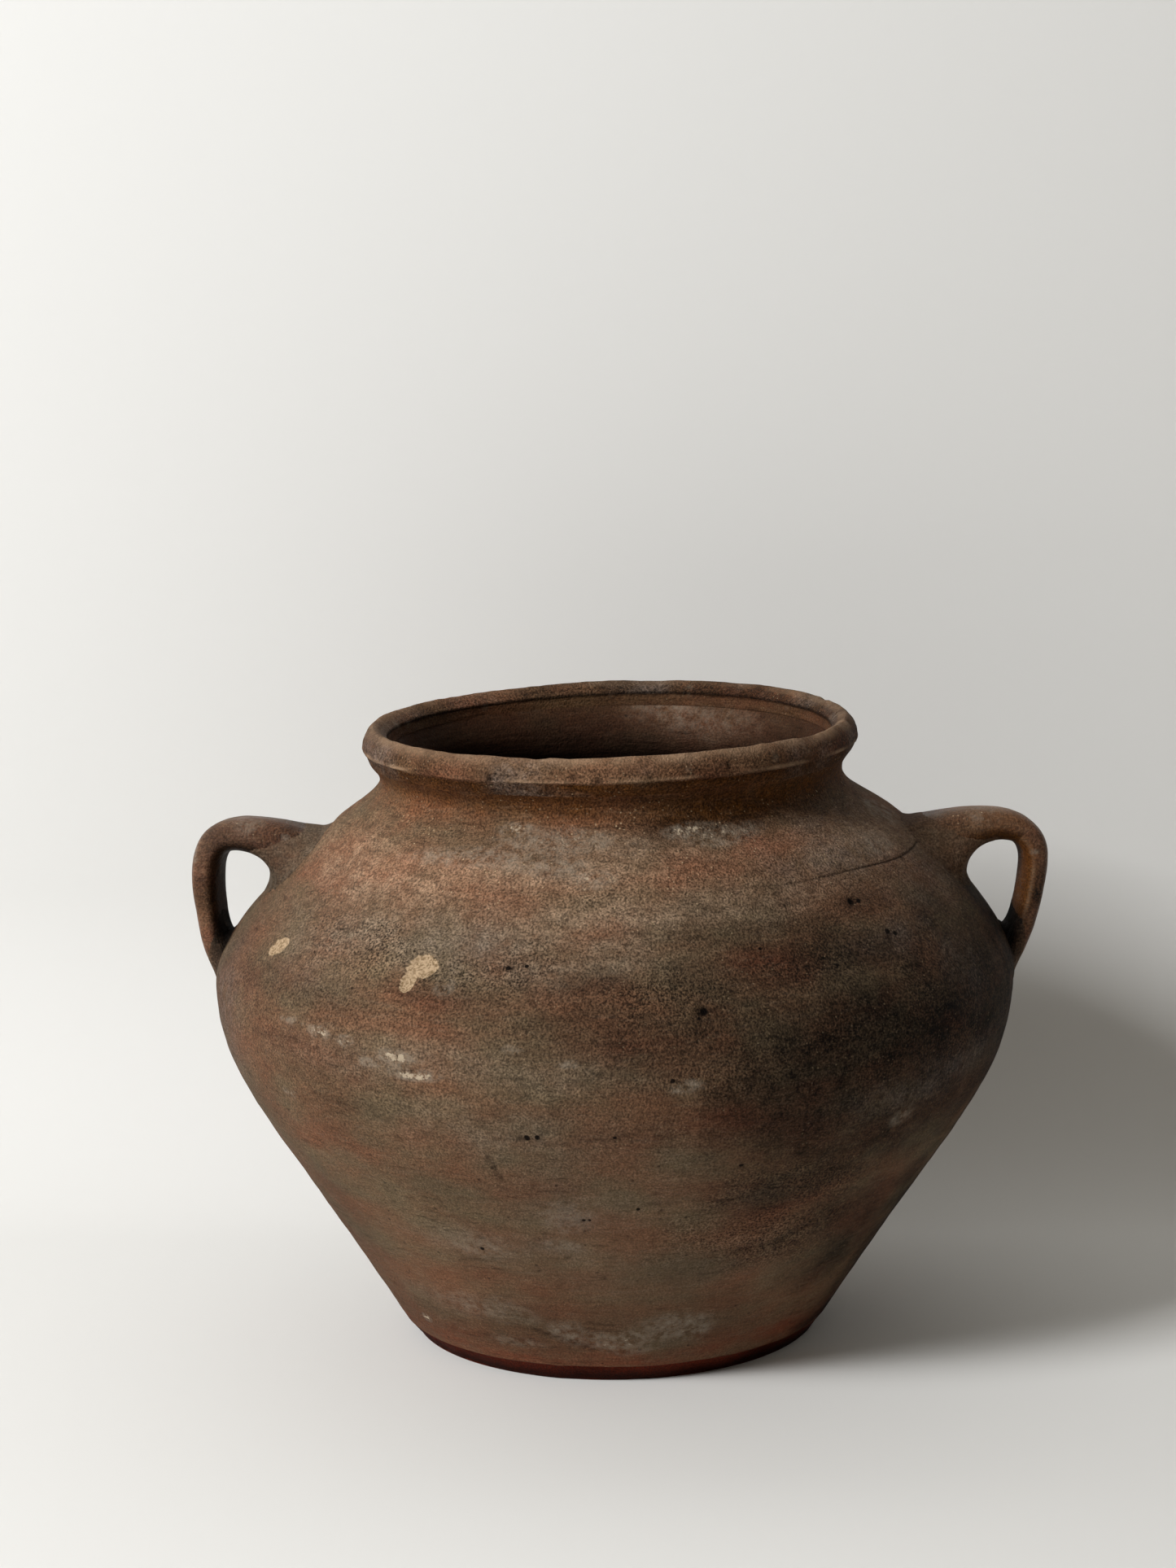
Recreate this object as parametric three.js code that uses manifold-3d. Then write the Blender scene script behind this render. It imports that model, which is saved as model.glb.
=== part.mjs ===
// Two-handled urn: a squat wheel-thrown earthenware pot with two ear handles on its shoulder.
// It is built as a potter builds it: a floor slab, a thrown body, a thrown shoulder and neck, a rim band,
// and two pulled straps that are luted on with collars of soft clay.
// Millimetres, +Z up. The origin is the middle of the foot on the floor, and the handles lie on +X and -X.
import * as THREE from 'three';
import { mergeVertices } from 'three/addons/utils/BufferGeometryUtils.js';
import Module from 'manifold-3d';

const deg = THREE.MathUtils.degToRad;

// Foot and floor slab
const FOOT_RADIUS = 87.5;
const FOOT_ROUND = 1.6;
const ARRIS_RADIUS = 93;
const BASE_THICKNESS = 8;

// Body: a straight-sided cone that turns over at the belly
const WALL = 8;
const WALL_LEAN = deg(31.7);
const CONE_ARM = 112;
const BELLY_RADIUS = 170;
const BELLY_RISE = 148;
const BELLY_ARM_DOWN = 40;
const BELLY_ARM_UP = 19;

// Shoulder and neck
const SHOULDER_RISE = 65;
const SHOULDER_SLOPE = deg(43);
const SHOULDER_ARM = 28.5;
const ROOT_RADIUS = 119.6;
const ROOT_ARM = 7.5;
const SEAM_DROP = 8;
const NECK_RISE = 19.5;
const THROAT_RADIUS = 98.3;
const THROAT_ARM_DOWN = 7.5;
const THROAT_ARM_UP = 4;
const COLLAR_RISE = 7.5;
const COLLAR_FLARE = 3.4;
const COLLAR_LEAN = deg(33);
const COLLAR_ARM = 3;

// Rim band
const RIM_RADIUS = 105.1;
const RIM_RISE = 15.3;
const BAND_DEPTH = 9.9;
const BAND_STEP = 0.8;
const BAND_FLARE_ARM = 3.5;
const WIDEST_DROP = 8.9;
const FACE_LEAN = 0.5;
const FACE_ROUND = 2.3;
const CREST_INSET = 4.7;
const LIP_WIDTH = 10.2;
const LIP_FALL = 3.7;
const LIP_ROUND = 2.2;

// Luted joints: a shallow key in each ring seam, and the film of slip left between joined faces
const KEY_DEPTH = 2;
const SLIP = 0.3;

// Ear handles
const HANDLE_TOP_DROP = 13;
const HANDLE_RISE_ANGLE = deg(22);
const HANDLE_TOP_ARM = 22;
const HANDLE_OVERHANG = 13.6;
const HANDLE_SIDE_DROP = 9;
const HANDLE_SIDE_ARM_UP = 23;
const HANDLE_SIDE_ARM_DOWN = 11;
const HANDLE_FOOT_RISE = 6;
const HANDLE_FOOT_ANGLE = deg(24);
const HANDLE_FOOT_ARM = 10;
const STRAP_WIDTH_TOP = 27;
const STRAP_WIDTH_FOOT = 24;
const STRAP_THICK_TOP = 14.2;
const STRAP_THICK_FOOT = 9.2;
const STRAP_SQUARENESS = 2.5;
const SWELL_THICK = 4.5;
const SWELL_WIDTH = 4;
const SWELL_RUN = 42;

// Collars of clay round the ends of the straps
const LUTE_RUN = 10;
const LUTE_SPREAD = 6.5;
const UPPER_LUTE_RUN_UNDER = 19;
const UPPER_LUTE_SPREAD_UNDER = 15;
const LUTE_EDGE = 0.8;

// Facets
const RING_SIDES = 56;
const BODY_STEPS = 16;
const NECK_STEPS = 11;
const BAND_STEPS = 4;
const FOOT_STEPS = 3;
const STRAP_SIDES = 14;
const STRAP_STEPS = 26;
const LUTE_STEPS = 6;

// Heights that follow from the rises
const bellyHeight = BASE_THICKNESS + BELLY_RISE;
const rootHeight = bellyHeight + SHOULDER_RISE;
const throatHeight = rootHeight + NECK_RISE;
const seatHeight = throatHeight + COLLAR_RISE;
const crestHeight = seatHeight + RIM_RISE;

// A profile is drawn with x as the radius and y as the height
const at = (radius, height) => new THREE.Vector2(radius, height);
const along = (point, direction, length) => point.clone().addScaledVector(direction, length);
const vertical = at(0, 1);
const coneWay = at(Math.sin(WALL_LEAN), Math.cos(WALL_LEAN));
const slopeWay = at(-Math.cos(SHOULDER_SLOPE), Math.sin(SHOULDER_SLOPE));
const collarWay = at(Math.sin(COLLAR_LEAN), Math.cos(COLLAR_LEAN));

// Outer face of the wall, one smooth line from the arris to the seat of the rim band
const arris = at(ARRIS_RADIUS, BASE_THICKNESS);
const belly = at(BELLY_RADIUS, bellyHeight);
const root = at(ROOT_RADIUS, rootHeight);
const throat = at(THROAT_RADIUS, throatHeight);
const seat = at(THROAT_RADIUS + COLLAR_FLARE, seatHeight);
const outerWall = new THREE.CurvePath();

function addWallCurve(from, fromWay, fromArm, to, toWay, toArm) {
  const leave = along(from, fromWay, fromArm);
  const arrive = along(to, toWay, -toArm);
  outerWall.add(new THREE.CubicBezierCurve(from, leave, arrive, to));
}

addWallCurve(arris, coneWay, CONE_ARM, belly, vertical, BELLY_ARM_DOWN);
addWallCurve(belly, vertical, BELLY_ARM_UP, root, slopeWay, SHOULDER_ARM);
addWallCurve(root, slopeWay, ROOT_ARM, throat, vertical, THROAT_ARM_DOWN);
addWallCurve(throat, vertical, THROAT_ARM_UP, seat, collarWay, COLLAR_ARM);
const wallLength = outerWall.getLength();

// A point on the wall by its fraction of the line, moved out of the face or along it
function wallPoint(fraction, out = 0, up = 0) {
  const way = outerWall.getTangent(fraction);
  const face = at(way.y, -way.x);
  return outerWall.getPoint(fraction).addScaledVector(face, out).addScaledVector(way, up);
}

// The fraction of the line where the face, grown by a thickness, reaches a height
function wallFraction(height, out = 0) {
  let low = 0;
  let high = 1;
  for (let i = 0; i < 40; i += 1) {
    const middle = (low + high) / 2;
    if (wallPoint(middle, out).y < height) low = middle;
    else high = middle;
  }
  return (low + high) / 2;
}

const wallRadius = (height, out) => wallPoint(wallFraction(height, out), out).x;

// Points of the wall between two fractions, at one depth
function wallLine(from, to, steps, out) {
  const points = [];
  for (let i = 0; i <= steps; i += 1) {
    points.push(wallPoint(THREE.MathUtils.lerp(from, to, i / steps), out));
  }
  return points;
}

// Revolve a closed profile about Z
function revolve(points) {
  return new THREE.LatheGeometry(points, RING_SIDES).rotateX(Math.PI / 2);
}

// A thrown ring: outer face up, keyed top, inner face down, then the bottom that it was given
function thrownRing(from, to, steps, bottom) {
  const outer = wallLine(from, to, steps, 0);
  const inner = wallLine(from, to, steps, -WALL).reverse();
  const key = wallPoint(to, -WALL / 2, -KEY_DEPTH);
  return revolve([...outer, key, ...inner, ...bottom, outer[0]]);
}

// Floor slab: flat underneath, undercut to the arris, with a groove that takes the foot of the wall
const wallFootWidth = WALL / Math.cos(WALL_LEAN);
const wallFootMiddle = ARRIS_RADIUS - wallFootWidth / 2;
const slabPath = new THREE.Path();
slabPath.moveTo(0, 0);
slabPath.lineTo(FOOT_RADIUS - FOOT_ROUND, 0);
slabPath.quadraticCurveTo(FOOT_RADIUS, 0, FOOT_RADIUS + FOOT_ROUND / 2, FOOT_ROUND);
slabPath.lineTo(ARRIS_RADIUS, BASE_THICKNESS);
slabPath.lineTo(wallFootMiddle, BASE_THICKNESS - KEY_DEPTH);
slabPath.lineTo(ARRIS_RADIUS - wallFootWidth, BASE_THICKNESS);
slabPath.lineTo(0, BASE_THICKNESS);
const baseGeometry = revolve(slabPath.getPoints(FOOT_STEPS));

// Thrown body, standing on the slab by a horizontal keyed foot
const footFraction = wallFraction(BASE_THICKNESS + SLIP);
const seamFraction = wallFraction(rootHeight - SEAM_DROP);
const footOuter = wallPoint(footFraction);
const footInner = at(footOuter.x - wallFootWidth, footOuter.y);
const footKey = at(footOuter.x - wallFootWidth / 2, footOuter.y - KEY_DEPTH);
const bodyGeometry = thrownRing(footFraction, seamFraction, BODY_STEPS, [footInner, footKey]);

// Thrown shoulder and neck, keyed into the body at the seam
const shoulderFraction = seamFraction + SLIP / wallLength;
const shoulderKey = wallPoint(shoulderFraction, -WALL / 2, -KEY_DEPTH);
const shoulderGeometry = thrownRing(shoulderFraction, 1, NECK_STEPS, [shoulderKey]);

// Rim band: the neck's flare runs on to a small step, then a face that leans in and a crest above the lip
const bandSeatOuter = wallPoint(1, 0, SLIP);
const bandSeatInner = wallPoint(1, -WALL, SLIP);
const bandSeatKey = wallPoint(1, -WALL / 2, SLIP - KEY_DEPTH);
const bandFlare = along(bandSeatOuter, collarWay, BAND_FLARE_ARM);
const bandEdge = at(RIM_RADIUS - BAND_STEP, crestHeight - BAND_DEPTH);
const bandWidest = at(RIM_RADIUS, crestHeight - WIDEST_DROP);
const bandFace = at(RIM_RADIUS - FACE_LEAN, crestHeight - FACE_ROUND);
const bandCrest = at(RIM_RADIUS - CREST_INSET, crestHeight);
const bandLip = at(RIM_RADIUS - LIP_WIDTH, crestHeight - LIP_FALL);
const bandPath = new THREE.Path();
bandPath.moveTo(bandSeatOuter.x, bandSeatOuter.y);
bandPath.quadraticCurveTo(bandFlare.x, bandFlare.y, bandEdge.x, bandEdge.y);
bandPath.lineTo(bandWidest.x, bandWidest.y);
bandPath.quadraticCurveTo(bandFace.x, bandFace.y, bandCrest.x, bandCrest.y);
bandPath.quadraticCurveTo(bandCrest.x - LIP_ROUND, bandCrest.y, bandLip.x, bandLip.y);
bandPath.quadraticCurveTo(bandSeatInner.x, bandLip.y - LIP_ROUND, bandSeatInner.x, bandSeatInner.y);
bandPath.lineTo(bandSeatKey.x, bandSeatKey.y);
bandPath.lineTo(bandSeatOuter.x, bandSeatOuter.y);
const rimGeometry = revolve(bandPath.getPoints(BAND_STEPS));

// Middle line of a handle in the plane through +X, from inside the shoulder round to inside the belly
const upperSeat = wallPoint(wallFraction(rootHeight - HANDLE_TOP_DROP));
const lowerSeat = wallPoint(wallFraction(bellyHeight + HANDLE_FOOT_RISE));
const sideRadius = BELLY_RADIUS + HANDLE_OVERHANG - STRAP_THICK_TOP / 2;
const side = at(sideRadius, upperSeat.y - HANDLE_SIDE_DROP);
const riseWay = at(Math.cos(HANDLE_RISE_ANGLE), Math.sin(HANDLE_RISE_ANGLE));
const footWay = at(-Math.sin(HANDLE_FOOT_ANGLE), -Math.cos(HANDLE_FOOT_ANGLE));
const upperEnd = along(upperSeat, riseWay, -STRAP_THICK_TOP);
const lowerEnd = along(lowerSeat, footWay, STRAP_THICK_FOOT / Math.tan(HANDLE_FOOT_ANGLE));
const handleLine = new THREE.CurvePath();
handleLine.add(new THREE.LineCurve(upperEnd, upperSeat));
handleLine.add(new THREE.CubicBezierCurve(
  upperSeat,
  along(upperSeat, riseWay, HANDLE_TOP_ARM),
  along(side, vertical, HANDLE_SIDE_ARM_UP),
  side,
));
handleLine.add(new THREE.CubicBezierCurve(
  side,
  along(side, vertical, -HANDLE_SIDE_ARM_DOWN),
  along(lowerSeat, footWay, -HANDLE_FOOT_ARM),
  lowerSeat,
));
handleLine.add(new THREE.LineCurve(lowerSeat, lowerEnd));
const handleLength = handleLine.getLength();
const handleBuried = upperEnd.distanceTo(upperSeat);

// A rounded strap section: the power that squares a circle keeps the sign of each part
const squared = (value) => Math.sign(value) * Math.abs(value) ** (2 / STRAP_SQUARENESS);

// The strap swells towards the shoulder, where the pulled clay was pressed on: 1 at the wall, 0 further out
function swellAt(fraction) {
  const past = (fraction * handleLength - handleBuried) / SWELL_RUN;
  return (1 - THREE.MathUtils.clamp(past, 0, 1)) ** 2;
}

// A point on the strap by its fraction of the line and its turn round the section, grown by a film
function strapPoint(fraction, turn, film = 0) {
  const middle = handleLine.getPoint(fraction);
  const way = handleLine.getTangent(fraction);
  const swell = swellAt(fraction);
  const taper = (top, foot) => THREE.MathUtils.lerp(top, foot, fraction) / 2;
  const thick = taper(STRAP_THICK_TOP, STRAP_THICK_FOOT) + SWELL_THICK * swell + film;
  const width = taper(STRAP_WIDTH_TOP, STRAP_WIDTH_FOOT) + SWELL_WIDTH * swell + film;
  const out = squared(Math.cos(turn)) * thick;
  const across = squared(Math.sin(turn)) * width;
  return new THREE.Vector3(middle.x - way.y * out, across, middle.y + way.x * out);
}

const strapTurn = (i) => (i / STRAP_SIDES) * Math.PI * 2;

// Skin rings of points into a closed body: round a tube with its ends capped, or on round a loop
function loft(rings, looped) {
  const count = rings[0].length;
  const positions = rings.flat().flatMap((point) => point.toArray());
  const index = [];
  const bands = looped ? rings.length : rings.length - 1;
  for (let i = 0; i < bands; i += 1) {
    const here = i * count;
    const next = ((i + 1) % rings.length) * count;
    for (let j = 0; j < count; j += 1) {
      const k = (j + 1) % count;
      index.push(here + j, next + k, here + k, here + j, next + j, next + k);
    }
  }
  const last = (rings.length - 1) * count;
  for (let j = 1; !looped && j < count - 1; j += 1) {
    index.push(0, j, j + 1, last, last + j + 1, last + j);
  }
  const geometry = new THREE.BufferGeometry();
  geometry.setAttribute('position', new THREE.Float32BufferAttribute(positions, 3));
  return geometry.setIndex(index);
}

// Solids for joins and cuts
const wasm = await Module();
wasm.setup();

function toSolid(geometry) {
  const bare = geometry.clone();
  bare.deleteAttribute('normal');
  bare.deleteAttribute('uv');
  const merged = mergeVertices(bare, 1e-4);
  const vertProperties = new Float32Array(merged.attributes.position.array);
  const triVerts = new Uint32Array(merged.index.array);
  return new wasm.Manifold(new wasm.Mesh({ numProp: 3, vertProperties, triVerts }));
}

function fromSolid(solid) {
  const mesh = solid.getMesh();
  const geometry = new THREE.BufferGeometry();
  geometry.setAttribute('position', new THREE.Float32BufferAttribute(mesh.vertProperties, 3));
  return geometry.setIndex(Array.from(mesh.triVerts));
}

// The room that the wall and its film of slip take, which the ends of the straps are cut back from
const wallRoom = toSolid(revolve([
  at(0, BASE_THICKNESS),
  ...wallLine(footFraction, seamFraction, BODY_STEPS, SLIP),
  ...wallLine(shoulderFraction, 1, NECK_STEPS, SLIP),
  at(0, seatHeight),
]));

// Pulled strap, swept along the middle line and seated on the wall
function strapGeometry() {
  const rings = [];
  for (let i = 0; i <= STRAP_STEPS; i += 1) {
    const ring = [];
    for (let j = 0; j < STRAP_SIDES; j += 1) {
      ring.push(strapPoint(i / STRAP_STEPS, strapTurn(j)));
    }
    rings.push(ring);
  }
  return fromSolid(toSolid(loft(rings, false)).subtract(wallRoom));
}

// The fraction where one line along the strap meets the wall, searched from the air into the wall
function strapEntry(turn, air, buried) {
  let out = air;
  let into = buried;
  for (let i = 0; i < 30; i += 1) {
    const middle = (out + into) / 2;
    const point = strapPoint(middle, turn, SLIP);
    if (Math.hypot(point.x, point.y) > wallRadius(point.z, SLIP)) out = middle;
    else into = middle;
  }
  return (out + into) / 2;
}

// Move a point straight in or out until it lies on the wall's film, or a height above it
function ontoWall(point, above = 0) {
  const scale = (wallRadius(point.z, SLIP) + above) / Math.hypot(point.x, point.y);
  return new THREE.Vector3(point.x * scale, point.y * scale, point.z);
}

// Collar of clay: a hollow fillet that runs along the strap and spreads over the wall, most under the strap.
// At the lower end the strap runs into the wall, so its columns are taken the other way round.
function luteGeometry(air, buried, runUnder, spreadUnder) {
  const columns = [];
  for (let j = 0; j < STRAP_SIDES; j += 1) {
    const turn = strapTurn(j);
    const under = (1 - Math.cos(turn)) / 2;
    const run = (Math.sign(air - buried) * THREE.MathUtils.lerp(LUTE_RUN, runUnder, under)) / handleLength;
    const reach = THREE.MathUtils.lerp(LUTE_SPREAD, spreadUnder, under);
    const entry = strapEntry(turn, air, buried);
    const foot = strapPoint(entry, turn, SLIP);
    const spine = handleLine.getPoint(entry);
    const away = new THREE.Vector3(foot.x - spine.x, foot.y, foot.z - spine.y);
    const slope = wallFraction(foot.z, SLIP);
    const way = outerWall.getTangent(slope);
    const face = new THREE.Vector3(way.y * foot.x, way.y * foot.y, -way.x * Math.hypot(foot.x, foot.y));
    face.normalize();
    away.addScaledVector(face, -away.dot(face)).normalize();
    const column = [];
    for (let i = 0; i <= LUTE_STEPS; i += 1) {
      const t = i / LUTE_STEPS;
      const skin = strapPoint(entry + run * (1 - t) ** 2, turn, SLIP);
      const spread = THREE.MathUtils.lerp(LUTE_EDGE, reach, t * t);
      column.push(skin.addScaledVector(away, spread));
    }
    column[LUTE_STEPS] = ontoWall(column[LUTE_STEPS], LUTE_EDGE);
    column.push(ontoWall(column[LUTE_STEPS]));
    column.push(ontoWall(foot.clone().addScaledVector(away, reach / 2)));
    for (let i = 0; i <= 3; i += 1) {
      column.push(strapPoint(entry + (run * i) / 3, turn, SLIP));
    }
    columns.push(column);
  }
  if (air < buried) columns.reverse();
  return loft(columns, true);
}

// The shares of the strap between which its two ends are searched for the wall
const upperLuteGeometry = () => luteGeometry(0.4, 0, UPPER_LUTE_RUN_UNDER, UPPER_LUTE_SPREAD_UNDER);
const lowerLuteGeometry = () => luteGeometry(0.6, 1, LUTE_RUN, LUTE_SPREAD);

// Named pieces and their fired colours
const urn = new THREE.Group();

function addPiece(parent, name, geometry, color, roughness) {
  const material = new THREE.MeshStandardMaterial({ color, roughness, metalness: 0 });
  const mesh = new THREE.Mesh(geometry, material);
  mesh.name = name;
  parent.add(mesh);
}

addPiece(urn, 'base_disc', baseGeometry, '#6b4331', 0.85);
addPiece(urn, 'body_wall', bodyGeometry, '#85604a', 0.75);
addPiece(urn, 'shoulder_neck', shoulderGeometry, '#8a634a', 0.75);
addPiece(urn, 'rim_band', rimGeometry, '#94735a', 0.7);

// Each ear is modelled on +X, and the left one is the same ear turned half round
for (const [sideName, turn] of [['right', 0], ['left', Math.PI]]) {
  const ear = new THREE.Group();
  ear.rotation.z = turn;
  addPiece(ear, `${sideName}_handle`, strapGeometry(), '#9c6744', 0.6);
  addPiece(ear, `${sideName}_upper_luting`, upperLuteGeometry(), '#956346', 0.65);
  addPiece(ear, `${sideName}_lower_luting`, lowerLuteGeometry(), '#8f5f45', 0.7);
  urn.add(ear);
}

export default urn;
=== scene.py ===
# %% [markdown]
# # A two-handled urn
# The frame holds a fired pot as the pieces that its potter joined: a floor slab, a thrown body, a thrown
# shoulder and neck, a rim band, two straps for ears, and the collars of clay that hold them on. The
# solids are clean revolves and lofts. Here each one is made again as a fine mesh with the marks of the
# hand, the kiln and long use, and gets a clay finish. The pot is worked out in millimetres, and the
# paper, the light and the camera in metres.

# %% Load the frame
import math

import bpy
import numpy as np
from mathutils import Matrix, Vector


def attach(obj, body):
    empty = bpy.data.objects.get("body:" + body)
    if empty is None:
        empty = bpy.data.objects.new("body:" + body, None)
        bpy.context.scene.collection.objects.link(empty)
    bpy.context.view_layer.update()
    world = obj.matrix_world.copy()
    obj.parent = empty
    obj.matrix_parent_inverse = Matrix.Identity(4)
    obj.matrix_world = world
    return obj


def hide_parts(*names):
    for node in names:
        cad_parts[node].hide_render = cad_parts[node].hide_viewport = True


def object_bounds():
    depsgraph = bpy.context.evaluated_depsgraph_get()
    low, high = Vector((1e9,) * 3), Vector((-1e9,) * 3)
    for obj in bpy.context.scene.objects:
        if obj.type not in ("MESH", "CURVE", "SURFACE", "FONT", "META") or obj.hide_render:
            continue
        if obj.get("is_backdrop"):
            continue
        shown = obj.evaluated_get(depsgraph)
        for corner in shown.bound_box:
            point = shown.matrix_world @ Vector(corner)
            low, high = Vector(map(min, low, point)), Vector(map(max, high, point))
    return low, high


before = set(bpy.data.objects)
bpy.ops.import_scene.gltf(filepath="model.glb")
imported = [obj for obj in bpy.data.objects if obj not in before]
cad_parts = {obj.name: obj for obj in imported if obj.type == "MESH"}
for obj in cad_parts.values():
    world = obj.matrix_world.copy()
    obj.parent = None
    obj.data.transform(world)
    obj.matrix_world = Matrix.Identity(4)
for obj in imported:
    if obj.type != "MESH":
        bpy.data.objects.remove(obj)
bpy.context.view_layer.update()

MM = 0.001
print("solids in the frame:", ", ".join(sorted(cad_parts)))

# %% [markdown]
# ## The line of the wall
# A thrown pot is a line turned round an axis. The same curves as in the solids give the outer face, from
# the arris above the foot, up the straight cone, over the belly and shoulder, and in to the neck. A curve
# could be drawn by hand, but four Bezier curves with named ends keep the mesh on the solid, so all pieces
# fit.

# %% Outer line of the wall
# Radius and height, in millimetres, of the places where one curve meets the next
ARRIS = np.array([93.0, 8.0])
BELLY = np.array([170.0, 156.0])
ROOT = np.array([119.6, 221.0])
THROAT = np.array([98.3, 240.5])
SEAT = np.array([101.7, 248.0])


def bezier(start, leave, arrive, end, count=400):
    """Points along a cubic Bezier curve."""
    t = np.linspace(0, 1, count)[:, None]
    first, second = (1 - t) ** 3 * start, 3 * (1 - t) ** 2 * t * leave
    return first + second + 3 * (1 - t) * t ** 2 * arrive + t ** 3 * end


def heading(degrees):
    """A direction in the profile, measured from straight up towards the outside."""
    return np.array([math.sin(math.radians(degrees)), math.cos(math.radians(degrees))])


# Ways in which the line runs along the cone, the shoulder, the flare of the neck, and straight up
cone_way, slope_way, flare_way, up_way = heading(31.7), heading(-47), heading(33), heading(0)
wall_line = np.concatenate([
    bezier(ARRIS, ARRIS + cone_way * 112, BELLY - up_way * 40, BELLY),
    bezier(BELLY, BELLY + up_way * 19, ROOT - slope_way * 28.5, ROOT)[1:],
    bezier(ROOT, ROOT + slope_way * 7.5, THROAT - up_way * 7.5, THROAT)[1:],
    bezier(THROAT, THROAT + up_way * 4, SEAT - flare_way * 3, SEAT)[1:],
])
print("wall line: four curves from", ARRIS.tolist(), "to", SEAT.tolist())

# %% [markdown]
# ## Going along the line
# Rows of the mesh lie at even steps along the line, and marks stand off it at a right angle. A curve
# gives its points by its own measure, which bunches them where it bends. So the line is cut again into
# short even steps, and helpers give the place and the normal for any way travelled from the arris.

# %% Steps along the line
SEAM_HEIGHT = 213.0
LINE_STEP = 0.25


def travel_of(line):
    """The way travelled along a line, at each of its points."""
    return np.concatenate([[0], np.cumsum(np.hypot(*np.diff(line, axis=0).T))])


def evenly(line, step):
    """The same line with points about a step apart."""
    travel = travel_of(line)
    stops = np.linspace(0, travel[-1], max(2, round(travel[-1] / step) + 1))
    return np.stack([np.interp(stops, travel, line[:, i]) for i in (0, 1)], axis=1)


def sideways(line):
    """Unit normals of a line, to its right as it runs."""
    run = np.gradient(line, axis=0)
    run /= np.hypot(run[:, 0], run[:, 1])[:, None]
    return np.stack([run[:, 1], -run[:, 0]], axis=1)


wall_line = evenly(wall_line, LINE_STEP)
wall_travel = travel_of(wall_line)
wall_out = sideways(wall_line)


def wall_at(travel):
    """Radius and height of the wall, and its normal, by the way travelled from the arris."""
    table = np.concatenate([wall_line, wall_out], axis=1)
    return [np.interp(travel, wall_travel, table[:, i]) for i in range(4)]


def wall_radius(height):
    """Radius of the wall at a height."""
    return np.interp(height, wall_line[:, 1], wall_line[:, 0])


seam_travel = float(np.interp(SEAM_HEIGHT, wall_line[:, 1], wall_travel))
print("wall line:", round(wall_travel[-1], 1), "mm long, belly", BELLY[0] * 2, "mm across")

# %% [markdown]
# ## A pot that leans
# No thrown pot is true. This one leans: its shoulder sits a few millimetres towards the right ear and its
# foot towards the left, and the rim rises at the right and at the back. Rings round one axis would look
# turned by a machine, so each height has an axis of its own.

# %% Lean
# Height, and how far the axis lies towards the right ear there
LEAN = np.array([[0, -1.4], [40, -0.6], [90, -0.2], [150, 0.4], [185, 2.0], [208, 3.6], [220, 2.4],
                 [235, 0.4], [250, -0.3], [270, -0.3]])
# Steps in height over which the lean is smoothed
LEAN_STEPS = (-8, -4, 0, 4, 8)
# The rim's rise at the right ear and at the back, the height where it sets in, and over how much it grows
RIM_TILT = (1.3, 1.2)
TILT_START = 234.0
TILT_RUN = 16.0


def lean_at(height):
    """How far the axis lies towards the right ear at a height."""
    return sum(np.interp(height + step, LEAN[:, 0], LEAN[:, 1]) for step in LEAN_STEPS) / len(LEAN_STEPS)


def on_pot(turn, radius, height):
    """A point of the pot: turn in radians from the front, towards the right ear."""
    x = radius * np.sin(turn) + lean_at(height)
    tilt = RIM_TILT[0] * np.sin(turn) - RIM_TILT[1] * np.cos(turn)
    rise = tilt * np.clip((height - TILT_START) / TILT_RUN, 0, 1)
    return np.stack([x, -radius * np.cos(turn), height + rise], axis=-1)


print("lean at the shoulder:", round(float(lean_at(SEAM_HEIGHT)), 2), "mm")

# %% [markdown]
# ## Soft unevenness
# Fingers leave rings, and drying leaves soft dents. Random vertex jitter would look like sandpaper. So
# the unevenness comes from a lattice of random values that are blended into each other, with a lattice
# size in millimetres. For finger rings the lattice is stretched round the turn.

# %% Noise
# Large odd numbers that turn the address of a lattice cell into a value that looks random
MIXERS = (73856093, 19349663, 83492791)
LAST_MIXER = 1274126177


def noise(points, size, seed=0):
    """Smooth noise from -1 to 1 with lumps of about the given size, which may differ by axis."""
    p = np.asarray(points, dtype=float) / size + 31.7 * seed
    cell = np.floor(p).astype(np.int64)
    part = p - cell
    part = part * part * (3 - 2 * part)
    total = np.zeros(len(p))
    for corner in np.ndindex(2, 2, 2):
        spot = cell + corner
        mixed = spot[:, 0] * MIXERS[0] ^ spot[:, 1] * MIXERS[1] ^ spot[:, 2] * MIXERS[2]
        mixed = ((mixed ^ (mixed >> 13)) * LAST_MIXER) & 0xFFFFFFFF
        value = ((mixed ^ (mixed >> 15)) & 0xFFFF) / 32767.5 - 1
        total += value * np.prod(np.where(corner, part, 1 - part), axis=1)
    return total


sample = noise(np.stack([np.arange(1000.0)] * 3, axis=-1), 30, 1)
print("noise runs from", round(float(sample.min()), 2), "to", round(float(sample.max()), 2))

# %% [markdown]
# ## Grids and fields
# Every turned piece is one grid: a closed profile, row by row, carried round in columns. Each vertex also
# carries a few numbers that the clay reads, such as how smoked or how rubbed it is there. Painting an
# image would need a file; numbers on the mesh need none and stay with the piece.

# %% Grid helpers
# Columns round the pot, and the angle in degrees from which an edge stays sharp
COLUMNS = 560
SHARP_ANGLE = 50
FIELDS = ("smoke_and_shade", "warm", "bloom", "ash_and_sheen", "chip", "lime_and_glint", "wear_and_highlight", "grime_and_shade", "sand", "speck", "gloss",
          "umber")
turns = np.linspace(-math.pi, math.pi, COLUMNS, endpoint=False)


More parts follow.
